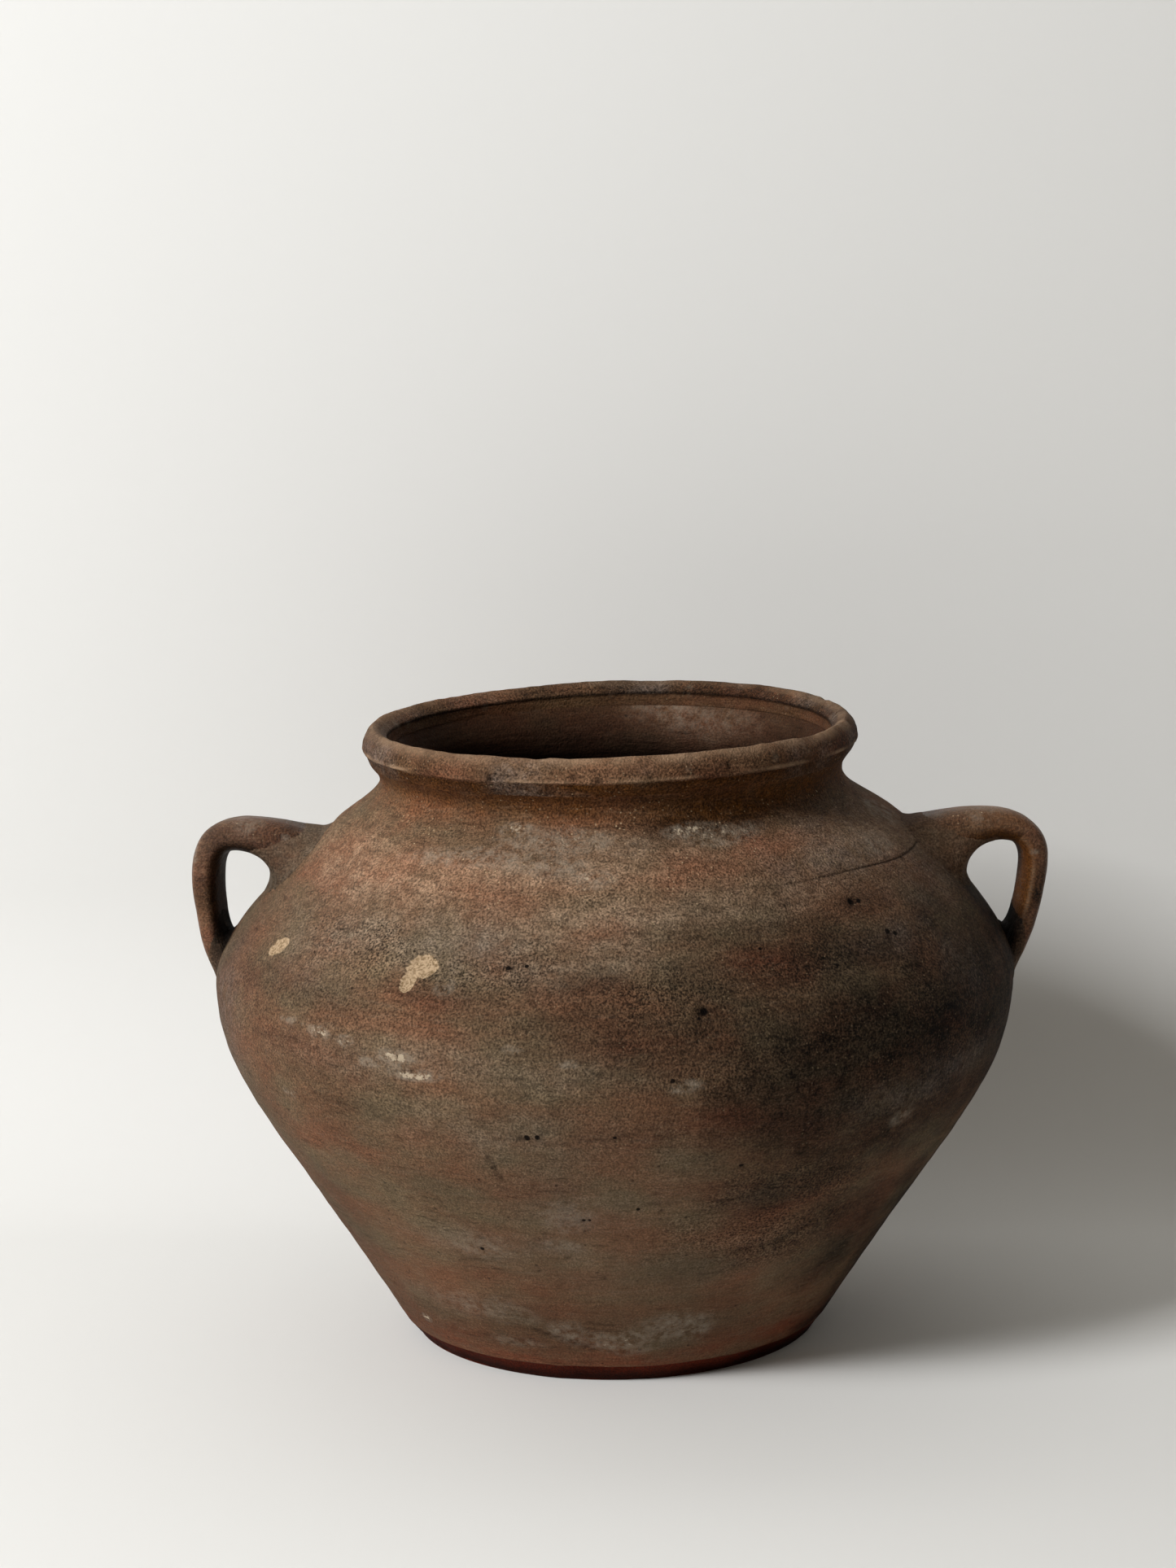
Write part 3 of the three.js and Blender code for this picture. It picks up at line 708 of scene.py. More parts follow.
# %% [markdown]
# ## Marks of the rim band
# Lids and hands rubbed the crest pale, and the sharp lower edge gets a thin painted highlight. The band
# is smoked at the far left and smoked with painted shade on the right. Under its edge it is painted dark
# and brown as shade, a thin line of painted shade lies in the undercut below the lip, and its inner face
# takes the painted shade of the inside. All follow from the height on the band and the turn.

# %% Places on the rim band
inner_face = ~outside & (height < BELOW_LIP[1])
# Where the band hangs over the neck, which gets painted shade
under_edge = outside & (height < BAND_EDGE[1])
# A thin line of painted shade in the undercut below the lip, inside
shade_below_lip = np.exp(-((height - BELOW_LIP[1]) / 0.7) ** 2) * ~outside
rubbed_crest = np.exp(-((height - CREST[1]) / 2.6) ** 2) * np.where(outside, 1.0, 0.4)
# A thin painted highlight along the sharp lower edge of the band's face
edge_highlight = (np.clip(0.5 + 1.3 * noise(base, 13, 85), 0, 1.3)
               * np.exp(-((height - WIDEST[1]) / 0.7) ** 2) * (radius > 104.6))
# Painted shade under the band, deepest at its edge
shade_under_band = np.interp(height, [SEAT[1], BAND_EDGE[1]], [0.5, 0.86])
left_smoke = 0.6 * np.exp(-((turn + 1.2) / 0.6) ** 2)
# Smoke and painted shade on the right, the side turned from the lamp
right_smoke_and_shade = 0.2 + 0.6 * np.sin(turn - 0.15) - np.where(np.cos(turn) > 0, 0.15, 0.45) * np.cos(turn)
face_smoke_and_shade = np.maximum(left_smoke, right_smoke_and_shade) + 0.35 * noise(base, 22, 78) + 0.25 * noise(base, 8, 70)
# Painted shade: the inside's on the inner face, and more of it under the band
inside_shade = np.interp(height, INSIDE["grime_and_shade"][:, 0], INSIDE["grime_and_shade"][:, 1])
more_shade_under_band = 0.3 * under_edge * np.clip(0.75 + 0.5 * noise(base, 9, 80), 0, 1)
print("vertices under the edge:", int(under_edge.sum()), "and on the inner face:", int(inner_face.sum()))

# %% [markdown]
# ## The finished rim band
# With these places known, each field is one line: what holds under the edge, on the inner face, and on
# the rest of the band. The rest varies by noise, because a band that was turned and then handled is never
# even.

# %% Rim band
face_warm = 0.3 + 0.5 * np.clip(noise(base, 40, 76), 0, 1)
fields = {
    "wear_and_highlight": np.clip(rubbed_crest * (0.65 + 0.35 * np.cos(turn - 0.3)) + edge_highlight, 0, 1),
    # Under the edge the band is red brown and dark as painted shade
    "warm": np.where(under_edge, 0.6, np.where(inner_face, 0.25, face_warm)),
    "bloom": np.where(under_edge | inner_face, 0.1, 0.55 * np.clip(noise(base, 30, 77) + 0.4, 0, 1)),
    "ash_and_sheen": np.clip(1.3 * noise(base, 14, 84) + 0.2, 0, 1) * ~inner_face,
    "umber": np.where(under_edge, 0.75, np.where(inner_face, 0.4, 0.15)),
    "smoke_and_shade": np.where(inner_face, 0.0, np.where(under_edge, shade_under_band, np.clip(face_smoke_and_shade, 0, 0.85))),
    "grime_and_shade": np.clip(inside_shade * inner_face + more_shade_under_band + 0.8 * shade_below_lip + rim_pits, 0, 1),
    "lime_and_glint": 0.75 * np.clip(noise(base, 7, 79) - 0.35, 0, 1) * np.clip((height - 254) / 4, 0, 1),
    "sand": np.where(inner_face, 0.4, 0.7), "speck": 0.5, "gloss": np.where(outside, 0.15, 0.8),
}
rim_band = make_piece("rim_band_turned", band_points, grid_faces(len(band_line), COLUMNS, True), fields)
print("rim band faces:", len(rim_band.data.polygons))

# %% [markdown]
# ## The foot
# The pot was cut from the wheel with a wire and its lower edge trimmed back, so a dark bevel runs in
# below the arris and the pot seems to float a little. The slab is a grid again, from the middle of the
# underside out over the bevel and back to the middle above, with a fan of triangles at each end of its
# line.

# %% Line of the foot
# Radius of the foot, of its rounded edge, and of the small ring round each pole
FOOT_RADIUS = 87.5
FOOT_ROUND = 1.6
POLE_RADIUS = 2.0
bevel_start = np.array([88.3, FOOT_ROUND])
flat_end = np.array([FOOT_RADIUS - FOOT_ROUND, 0.0])
slab_line = np.concatenate([
    evenly(np.array([[POLE_RADIUS, 0.0], flat_end]), 6.0),
    evenly(corner(flat_end, np.array([FOOT_RADIUS, 0.0]), bevel_start), 0.6)[1:],
    evenly(np.array([bevel_start, ARRIS]), 0.8)[1:],
    evenly(np.array([ARRIS, [POLE_RADIUS, ARRIS[1]]]), 4.0)[1:],
])
slab_out = sideways(slab_line)
arris_row = np.argmax(slab_line[:, 0])
slab_out[arris_row] = wall_out[0]
print("base slab rows:", len(slab_line))

# %% [markdown]
# ## The slab
# The trimmed bevel is uneven and the arris moves with the wall above it, so the two stay closed. The
# arris gets a thin painted highlight, the bevel painted shade that deepens towards the floor, and the
# slab is darker on the right.

# %% Base slab
rows = len(slab_line)
turn = np.tile(turns, rows)
radius, height = rows_of(slab_line[:, 0]), rows_of(slab_line[:, 1])
base = on_pot(turn, radius, height)
bevel = (radius > 86) & (height > 0.2) & (height < 7.9)
at_arris = rows_of(np.arange(rows) == arris_row) > 0.5
push = np.where(bevel, 0.5 * noise(base, 14, 81) + 0.25 * noise(base, 5, 82) - 0.4, 0.0)
push = np.where(at_arris, soft_outside(base), push)
points = on_pot(turn, radius + push * rows_of(slab_out[:, 0]), height + push * rows_of(slab_out[:, 1]))
points[:, 2] = np.maximum(points[:, 2], 0.0)
points = np.concatenate([points, [[lean_at(0.0), 0, 0.0], [lean_at(ARRIS[1]), 0, ARRIS[1]]]])
fields = {
    # Smoke, darker on the right
    "smoke_and_shade": np.clip(0.2 + 0.3 * noise(base, 25, 83) + 0.3 * np.sin(turn), 0, 1),
    "warm": 0.8 + 0 * turn,
    # Painted shade on the bevel, deepening towards the floor
    "grime_and_shade": np.where(bevel, np.clip((7 - height) / 6, 0, 0.8), 0.2),
    # Painted highlight along the arris
    "wear_and_highlight": 0.6 * at_arris,
    "sand": 0.4 + 0 * turn,
}
fields = {name: np.concatenate([values, values[:1], values[-1:]]) for name, values in fields.items()}
below, above, last = rows * COLUMNS, rows * COLUMNS + 1, (rows - 1) * COLUMNS
slab_faces = [tuple(face) for face in grid_faces(rows, COLUMNS, False)]
slab_faces += [(below, (a + 1) % COLUMNS, a) for a in range(COLUMNS)]
slab_faces += [(above, last + a, last + (a + 1) % COLUMNS) for a in range(COLUMNS)]
base_disc = make_piece("base_slab_cut", points, slab_faces, fields)
print("base slab faces:", len(base_disc.data.polygons))

# %% [markdown]
# ## The line of an ear
# Each ear is a pulled strap that leaves the shoulder, turns over and comes back almost along the belly.
# Its middle line is two Bezier curves between the upper end, the outermost place and the lower end, with
# a straight run into the wall at each end. The two ears were bent by hand and differ a little.

# %% Line of an ear
STRAP_STEP = 0.9
# How far the ends run into the wall, above and below
BURIED = (14.2, 9.2)
# Heights of both ends on the wall, then reach and height of the outermost place
UPPER_HEIGHT = 208.0
LOWER_HEIGHT = 162.0
EAR_REACH = 176.5
EAR_MIDDLE = 199.0
# Angle in degrees between the lower end and the wall that it runs into
LOWER_ANGLE = 24


def ear_line(side_shift, root_lift, rise_angle, rise_arm, side_arm):
    """Middle line of an ear in its own plane: reach from the axis, and height."""
    upper = np.array([wall_radius(UPPER_HEIGHT + root_lift), UPPER_HEIGHT + root_lift])
    lower = np.array([wall_radius(LOWER_HEIGHT), LOWER_HEIGHT])
    side = np.array([EAR_REACH + side_shift, EAR_MIDDLE])
    rise, fall = heading(90 - rise_angle), heading(180 + LOWER_ANGLE)
    return evenly(np.concatenate([
        np.linspace(upper - rise * BURIED[0], upper, 30),
        bezier(upper, upper + rise * rise_arm, side + up_way * side_arm, side)[1:],
        bezier(side, side - up_way * 11, lower - fall * 10, lower)[1:],
        np.linspace(lower, lower + fall * BURIED[1] / math.tan(math.radians(LOWER_ANGLE)), 40)[1:],
    ]), STRAP_STEP)


right_line, left_line = ear_line(-0.2, 1.2, 22, 22, 24), ear_line(-0.4, -1.6, 27, 24, 21)
print("strap rows:", len(right_line), "and", len(left_line))

# %% [markdown]
# ## The section of a strap
# A strap is thick where it was pressed to the shoulder and thinner as it bends over. A curve object with
# a bevel can't change its section or meet a leaning wall, so the strap is swept in code: a rounded
# section, carried along the middle line, with a slow unevenness. Both straps are a little twisted towards
# the front.

# %% Section of a strap
STRAP_SIDES = 80
# Width at the upper and lower end, and the swelling of thickness and width at the root
WIDTH = (27.0, 24.0)
SWELL = (4.5, 4.0)
SWELL_RUN = 42.0
TWIST = math.radians(8)
section_turn = np.linspace(0, 2 * math.pi, STRAP_SIDES, endpoint=False)


def squared(value, power=3.0):
    """Bend a circle's sine or cosine towards a rounded rectangle's."""
    return np.sign(value) * np.abs(value) ** (2 / power)


def strap_grid(line, side, thickness, seed):
    """Strap points in the ear's own frame, row by row; side is 1 for the right ear and -1 for the left."""
    out_way, travel = -sideways(line), travel_of(line)
    share = (travel / travel[-1])[:, None]
    swell = np.clip(1 - (travel - BURIED[0]) / SWELL_RUN, 0, 1)[:, None] ** 2
    thick = np.interp(share, thickness[:, 0], thickness[:, 1]) / 2 + SWELL[0] * swell
    width = (WIDTH[0] + (WIDTH[1] - WIDTH[0]) * share) / 2 + SWELL[1] * swell
    flat = squared(np.cos(section_turn))[None, :] * thick
    across = squared(np.sin(section_turn))[None, :] * width
    twist = side * TWIST * np.sin(np.clip(share, 0, 1) * math.pi)
    out = flat * np.cos(twist) - across * np.sin(twist)
    across = across * np.cos(twist) + flat * np.sin(twist) + 0.7 * np.sin(share * 5 + seed)
    reach, height = line[:, :1] + out_way[:, :1] * out, line[:, 1:] + out_way[:, 1:] * out
    plain = np.stack([reach, across, height], axis=-1).reshape(-1, 3)
    middle = np.repeat(np.stack([line[:, 0], 0 * line[:, 0], line[:, 1]], axis=-1), STRAP_SIDES, axis=0)
    from_middle = plain - middle
    from_middle /= np.linalg.norm(from_middle, axis=1)[:, None]
    lumps = 0.35 * noise(plain, 16, seed) + 0.18 * noise(plain, 6, seed + 1)
    lumps = lumps + 0.06 * noise(plain, 2.5, seed + 2)
    return plain + from_middle * lumps[:, None]


print("strap section:", STRAP_SIDES, "points,", WIDTH[0], "mm wide at the top")

# %% [markdown]
# ## Two unlike ears
# The ears aged differently, and the light falls on them differently. The right one is rubbed along its
# back; its bend, lit from the left, is painted red brown as light, and its front gets painted shade. The
# left one gets painted shade inside its whole bend and is smoked on top. One table holds what differs, so
# that one function serves both.

# %% What differs between the ears
# Thickness by the share of the way along, then strengths of red, of red painted on the lit bend, of
# rubbing, of brown in the bend, of smoke, of smoke on top, and of painted shade in the bend and in front
RIGHT_EAR = {
    "side": 1, "seed": 91, "line": right_line,
    "thick": np.array([[0, 14.6], [0.2, 14.2], [0.38, 12.8], [0.52, 10.2], [0.66, 9.2], [1, 8.6]]),
    "warm": 0.3, "lit_warm_within": 0.9, "rub": 0.5, "umber_within": 0.8,
    "smoke_and_shade": 0.1, "smoke_top": 0.0, "shade_within": 0.1, "shade_front": 0.55,
}
LEFT_EAR = {
    "side": -1, "seed": 121, "line": left_line,
    "thick": np.array([[0, 15.2], [0.2, 14.6], [0.38, 13.2], [0.52, 11.4], [0.66, 10.6], [1, 9.4]]),
    "warm": 0.15, "lit_warm_within": 0.0, "rub": 0.2, "umber_within": 0.2,
    "smoke_and_shade": 0.06, "smoke_top": 0.36, "shade_within": 0.95, "shade_front": 0.0,
}
print("values for each ear:", len(RIGHT_EAR))

# %% [markdown]
# ## Marks of a strap
# Marks on an ear follow two measures: the share of the way along it, and which way its skin faces,
# outward, into the bend or to the front. Hands polish what faces outward. Painted shade fills the bend
# under the top and at the lower end, and on the left ear all of it, while the lit bend of the right ear is
# painted red brown. The right ear has a thin painted highlight along the ridge of its front edge, and
# both have painted glints near the top of their front.

# %% Marks of a strap
# The share of the way along at which a strap turns down, and the turn in its section of the painted
# highlight on the ridge
BEND = 0.42
RIDGE_TURN = 4.35


def strap_fields(plain, ear, rows):
    """What the clay reads on a strap."""
    side, seed = ear["side"], ear["seed"]
    around, along = np.tile(section_turn, rows), np.repeat(np.linspace(0, 1, rows), STRAP_SIDES)
    outward, front = np.cos(around), np.clip(-side * np.sin(around), 0, 1)
    within = np.clip(-outward, 0, 1)
    # On the right ear the bend is taken a little towards the front, so that the painted shade under the top
    # reaches the lower part of its front
    if side > 0:
        within = np.clip((-np.cos(around - 0.45) - 0.4) / 0.4, 0, 1)
    # A thin painted highlight along the front ridge of the right ear's limb
    ridge_highlight = np.exp(-((around - RIDGE_TURN) / 0.18) ** 2) * (along > BEND) * (side > 0)
    low, root = np.clip((along - 0.66) / 0.1, 0, 1), np.clip((0.3 - along) / 0.14, 0, 1)
    smoke_and_shade = ear["smoke_and_shade"] + ear["smoke_top"] * np.clip((0.5 - along) / 0.1, 0, 1)
    smoke_and_shade = smoke_and_shade + 0.35 * noise(plain, 14, seed + 4) + 0.3 * root
    # Painted shade in the bend: all of it under the top, and on the limb as much as the ear gives
    smoke_and_shade = smoke_and_shade + np.where(along < BEND, 1.0, ear["shade_within"]) * within
    # Painted shade on the front of the right ear's limb, and in the bend at the lower end
    smoke_and_shade = smoke_and_shade + ear["shade_front"] * front * np.clip((along - 0.3) / 0.3, 0, 1) + low * within
    rub = ear["rub"] * np.clip(outward, 0, 1) ** 3 * np.clip(np.sin(along * 3.0), 0, 1)
    # Painted glints near the top of the front, laid on with the lime hues
    glints = 0.75 * np.exp(-((along - 0.3) / 0.05) ** 2) * front * np.clip(outward + 0.3, 0, 1)
    return {
        # Red and brown painted on the right ear's lit bend, as the light that falls on it
        "warm": ear["warm"] + 0.3 * noise(plain, 18, seed + 3) + ear["lit_warm_within"] * within,
        "wear_and_highlight": rub + 0.4 * ridge_highlight,
        "smoke_and_shade": np.clip(smoke_and_shade, 0, 0.97),
        "umber": ear["umber_within"] * within,
        # Darker near both ends, and painted shade deep in the bend at the lower end
        "grime_and_shade": np.maximum(0.35 * np.clip(1 - np.minimum(along, 1 - along) / 0.2, 0, 1),
                            np.clip(-2.2 * outward, 0, 1) * low),
        "bloom": 0.25 * np.clip(noise(plain, 12, seed + 5) + 0.2, 0, 1),
        "lime_and_glint": 0.9 * np.clip(noise(plain, 5, seed + 6) - 0.3, 0, 1) * (along < 0.5) + glints,
        "sand": 0.4 + 0.2 * root,
        # Pale flecks on the front of the top, which paint glints
        "speck": np.clip(outward + 0.3, 0, 1) * np.clip((0.45 - along) / 0.1, 0, 1),
        "gloss": np.clip(0.6 + 0.6 * noise(plain, 10, seed + 9), 0, 1.2) * np.clip(outward + 0.4, 0, 1),
    }


print("straps turn down at", BEND, "of their way")

# %% [markdown]
# ## Two straps
# Both ears are made on the right, where the sums are simplest. Then each is turned to its own side and
# moved with the pot's lean at its height, so that its ends meet the wall as it really stands.

# %% Two straps
def to_side(plain, side):
    """Turn an ear made on the right to its own side, and let it follow the pot's lean."""
    placed = np.stack([plain[:, 0] * side, plain[:, 1] * side, plain[:, 2]], axis=-1)
    placed[:, 0] += lean_at(plain[:, 2])
    return placed


def make_strap(name, ear):
    """A strap, and its points before they were placed on the pot."""
    rows = len(ear["line"])
    plain = strap_grid(ear["line"], ear["side"], ear["thick"], ear["seed"])
    faces = [tuple(face) for face in grid_faces(rows, STRAP_SIDES, False)]
    faces.append(tuple(range(STRAP_SIDES))[::-1])
    faces.append(tuple(range((rows - 1) * STRAP_SIDES, rows * STRAP_SIDES)))
    return make_piece(name, to_side(plain, ear["side"]), faces, strap_fields(plain, ear, rows)), plain


right_strap, right_plain = make_strap("right_ear_strap", RIGHT_EAR)
left_strap, left_plain = make_strap("left_ear_strap", LEFT_EAR)
print("strap faces:", len(right_strap.data.polygons), "and", len(left_strap.data.polygons))

# %% [markdown]
# ## Collars of clay
# The potter pressed the ends of the strap on and smeared fresh clay round them with a thumb, most of it
# under the upper end. Each collar is a hollow fillet: it leaves the strap along its own direction and
# lands along the wall. A boolean with a bevel would give an even, machined blend. Lofting it strip by
# strip lets the spread and the lumps vary.

# %% One strip of a collar
# Points of a strip from the strap to the wall
COLLAR_STEPS = 22
# How far a collar stands off the wall, and how far its edge sinks into it
STAND_OFF = 0.5
EDGE_SINK = 1.6


def wall_normal(place):
    """The normal of the wall beside a place."""
    slope = (wall_radius(place[2] + 1) - wall_radius(place[2] - 1)) / 2
    face = np.array([place[0], place[1], 0]) / np.hypot(place[0], place[1]) - np.array([0, 0, slope])
    return face / np.linalg.norm(face)


def collar_strip(line, fibre, at_top, run, reach):
    """One strip of a collar, from the strap to the wall and back underneath."""
    half = len(line) // 2
    clear = np.hypot(fibre[:, 0], fibre[:, 1]) - wall_radius(fibre[:, 2])
    if at_top:
        entry = np.nonzero(clear[:half] < 0)[0].max()
    else:
        entry = half + np.nonzero(clear[half:] < 0)[0].min()
    steps = np.arange(round(run / STRAP_STEP) + 1) * (1 if at_top else -1)
    lead = np.clip(entry + steps, 0, len(line) - 1)
    path = fibre[lead[::-1]]
    foot, face = path[-1], wall_normal(path[-1])
    centre = np.array([line[entry, 0], 0, line[entry, 1]])
    spread_way = foot - centre
    spread_way -= face * spread_way.dot(face)
    spread_way /= np.linalg.norm(spread_way)
    t = np.linspace(0, 1, COLLAR_STEPS)
    place = (1 - (1 - t) ** 2) * (len(path) - 1)
    skin = np.stack([np.interp(place, np.arange(len(path)), path[:, i]) for i in range(3)], axis=1)
    strip = skin + spread_way * (0.1 + reach * t ** 2)[:, None]
    over = np.hypot(strip[:, 0], strip[:, 1])
    wall = wall_radius(strip[:, 2]) + STAND_OFF - EDGE_SINK * np.clip((t - 0.8) / 0.2, 0, 1)
    strip[:, :2] *= np.where(t > 0.9, wall, np.maximum(over, wall))[:, None] / over[:, None]
    strip[0] -= (path[0] - np.array([line[lead[-1], 0], 0, line[lead[-1], 1]])) * 0.05
    hidden = np.array([strip[-1] - face * 2.0, foot - face * 2.5, 0.5 * (path[len(path) // 2] + centre)])
    return np.concatenate([strip, hidden])


print("steps from strap to wall:", COLLAR_STEPS)

# %% [markdown]
# ## Whole collars
# Strips side by side, one for each point of the strap's section, close to a ring. Thumb marks are lumps
# that fade out at both edges, so that the collar stays shut against the strap and the wall. In the bend
# at the lower end the clay gets painted shade, and each collar grows darker towards the wall.

# %% Whole collars
def make_collar(name, ear, plain, at_top, runs, reaches, seed):
    """Runs and reaches are over and under the strap."""
    line, side = ear["line"], ear["side"]
    grid = plain.reshape(len(line), STRAP_SIDES, 3)
    under = (1 - np.cos(section_turn)) / 2
    uneven = 1 + 0.12 * np.sin(3 * section_turn + seed)
    run = (runs[0] + (runs[1] - runs[0]) * under) * uneven
    reach = (reaches[0] + (reaches[1] - reaches[0]) * under) * uneven
    strips = [collar_strip(line, grid[:, j], at_top, run[j], reach[j]) for j in range(STRAP_SIDES)]
    strips = np.array(strips)
    rows, flat = strips.shape[1], strips.reshape(-1, 3)
    place = np.tile(np.arange(rows), STRAP_SIDES)
    shown = np.clip(place / 4, 0, 1) * np.clip((COLLAR_STEPS - 3 - place) / 4, 0, 1)
    lumps = 0.3 * noise(flat, 8, seed + 7) + 0.15 * noise(flat, 3.5, seed + 8)
    flat = flat + (lumps * shown)[:, None] * np.array([0.7, 0, 0.7])
    faces = grid_faces(STRAP_SIDES, rows, True)
    faces = faces if at_top else faces[:, ::-1]
    fade, pressed = np.clip(place / COLLAR_STEPS, 0, 1), np.repeat(under, rows)
    # Painted shade in the deep bend under the lower collars
    below = 0.0 if at_top else 0.9
    smoke_and_shade = 0.1 + 0.3 * noise(flat, 14, seed + 4) + (0.25 if side > 0 else 0.2)
    fields = {
        "warm": 0.4 + 0.3 * noise(flat, 16, seed + 3),
        "sand": 0.4 + 0.2 * fade,
        "gloss": 0.5 - 0.5 * fade,
        "smoke_and_shade": np.clip(smoke_and_shade + below * pressed, 0, 1),
        # Darker towards the wall, and painted shade in the bend below
        "grime_and_shade": np.clip(0.1 + 0.4 * fade ** 4 + below * pressed ** 2, 0, 1),
        "lime_and_glint": 0.8 * np.clip(noise(flat, 6, seed + 6) - 0.4, 0, 1),
        "bloom": (0.3 if side > 0 else 0.6) + 0.4 * fade,
    }
    return make_piece(name, to_side(flat, side), faces, fields)


right_top = make_collar("right_ear_top_collar", RIGHT_EAR, right_plain, True, (9, 24), (6, 19), 91)
right_foot = make_collar("right_ear_foot_collar", RIGHT_EAR, right_plain, False, (10, 15), (6.5, 9), 95)
left_top = make_collar("left_ear_top_collar", LEFT_EAR, left_plain, True, (8, 22), (5.5, 18), 121)
left_foot = make_collar("left_ear_foot_collar", LEFT_EAR, left_plain, False, (10, 14), (6.5, 8), 125)
print("collar faces:", len(right_top.data.polygons))

# %% [markdown]
# ## Burst grains
# A few grains of grit burst out in firing and left sharp deep holes, smaller than the squares of the
# mesh. The mesh dips there. The finish paints the hole black as painted shade, by the distance to its
# middle, so its edge stays crisp.

# %% Holes
# Each hole: turn, height, reach in millimetres
HOLES = np.array([(11.5, 173.5, 1.8), (10.8, 171.1, 0.8), (33.3, 184.3, 0.9), (21.4, 192.7, 0.8),
                  (41.8, 204.0, 1.6), (43.4, 203.4, 1.2), (45.7, 191.9, 1.4), (47.0, 190.6, 1.2),
                  (7.3, 148.2, 1.0), (-0.2, 124.8, 0.9), (-16.3, 188.4, 1.1), (-13.6, 189.2, 0.8),
                  (18.0, 108.9, 1.1), (3.3, 90.4, 0.8), (-24.3, 67.2, 1.0), (-12.1, 124.3, 1.4),
                  (-10.7, 124.6, 1.1), (-5.2, 85.0, 1.0), (-4.3, 85.2, 0.8), (96, 150, 1.4),
                  (140, 190, 1.6), (-120, 130, 1.5), (175, 110, 1.4)])
hole_turn = np.radians(HOLES[:, 0] + CAMERA_TURN)
hole_travel = np.interp(HOLES[:, 1], wall_line[:, 1], wall_travel)
radius, height, out_r, out_z = wall_at(hole_travel)
push = soft_outside(on_pot(hole_turn, radius, height))
hole_places = on_pot(hole_turn, radius + push * out_r, height + push * out_z) * MM
print("holes:", len(hole_places))

# %% [markdown]
# ## Adding nodes
# A finish in Blender is a tree of nodes. They can be wired by hand in the editor, but a script needs a
# short way: one function adds any node, sets what is a value, links what is a socket, and gives an output
# back. Colours are written as the hex values of a paint program, and one function turns them to linear
# light.

# %% Nodes and colours
def linear(hex_colour):
    """An sRGB hex colour as linear values."""
    parts = [int(hex_colour[i:i + 2], 16) / 255 for i in (1, 3, 5)]
    return [p / 12.92 if p <= 0.04045 else ((p + 0.055) / 1.055) ** 2.4 for p in parts] + [1.0]


def put(tree, kind, inputs=None, out=0, **settings):
    """Add a node, set what is given, link what is a socket, and give back one output."""
    made = tree.nodes.new("ShaderNode" + kind)
    for name, value in settings.items():
        setattr(made, name, value)
    for name, value in (inputs or {}).items():
        if isinstance(value, bpy.types.NodeSocket):
            tree.links.new(value, made.inputs[name])
        else:
            made.inputs[name].default_value = value
    return made.outputs[out] if made.outputs else None


print("middle grey:", [round(value, 3) for value in linear("#808080")[:3]])

# %% [markdown]
# ## Patterns in the clay
# The clay is unglazed earthenware with sand in it, thrown, wiped and fired in a wood kiln. To the eye it
# is matt and grainy, with soft zones of hue a hand wide and fine grain inside them. So the patterns are
# noises whose lumps have real sizes. Those that a wet hand wiped are drawn out round the turn.

# %% Patterns
# Lump size in millimetres, detail, roughness, and how far the lumps are drawn out round the turn
PATTERNS = {
    "mottle": (60, 4.0, 0.55, 1),
    "hue": (18, 3.0, 0.5, 2),
    "flame": (11, 3.0, 0.5, 2),
    "blotch": (14, 5.0, 0.6, 1),
    "bands": (9, 4.0, 0.6, 16),
    "cloud": (5, 4.0, 0.6, 1),
    "dust": (2.8, 5.0, 0.72, 1),
    "pores": (1.6, 4.0, 0.65, 1),
    "strokes": (1.4, 3.0, 0.6, 8),
    # Sand grains are about 0.3 mm and too fine to show, so they are drawn three times as coarse
    "grains": (0.9, 2.0, 0.6, 1),
}
# Distance between dark grit grains and between pale flecks, in millimetres
DOTS = {"grit": 5.0, "fleck": 1.9}


def clay_patterns(tree):
    """All patterns and all fields of the mesh, as sockets by name."""
    spot = put(tree, "TexCoord", out="Object")
    known = {"spot": spot}
    for name, (size, detail, roughness, drawn_out) in PATTERNS.items():
        place = put(tree, "Mapping", {"Vector": spot, "Scale": (1 / drawn_out, 1 / drawn_out, 1.0)})
        known[name] = put(tree, "TexNoise", {"Vector": place, "Scale": 1 / (size * MM), "Detail": detail,
                                             "Roughness": roughness})
    for name, size in DOTS.items():
        known[name] = put(tree, "TexVoronoi", {"Vector": spot, "Scale": 1 / (size * MM)}, "Distance")
        known[name + "_pick"] = put(tree, "SeparateColor", {"Color": known[name].node.outputs["Color"]})
    for field in FIELDS:
        known[field] = put(tree, "Attribute", out="Fac", attribute_name=field)
    return known


print("patterns:", len(PATTERNS) + len(DOTS), "fields:", len(FIELDS))

# %% [markdown]
# ## Shares
# Every mark covers a share of the clay: a field says where on the pot it is, and patterns break its edge
# up. A share is written as a row of terms that are multiplied. Each term adds patterns or fields and
# stretches the sum from one range to another. Rows in a table are easier to read and tune than a hundred
# wired nodes.

# %% Shares and layers
# Sockets of the Mix node when it mixes colours: share, colour below, colour above, and the result
SHARE, BELOW, ABOVE, MIXED = 0, 6, 7, 2


def as_is(field):
    """A field, used as it was painted on the mesh."""
    return (field,), 0, 2, 0, 2


def share_of(tree, known, terms):
    """The product of the terms: names to add, the range they have, and the range they get."""
    share = 1.0
    for names, low, high, to_low, to_high in terms:
        total = 0.0
        for name in names:
            total = put(tree, "Math", {0: known[name], 1: total}, operation="ADD")
        term = put(tree, "MapRange", {"Value": total, "From Min": low, "From Max": high,
                                      "To Min": to_low, "To Max": to_high})
        share = put(tree, "Math", {0: term, 1: share}, operation="MULTIPLY")
    return share


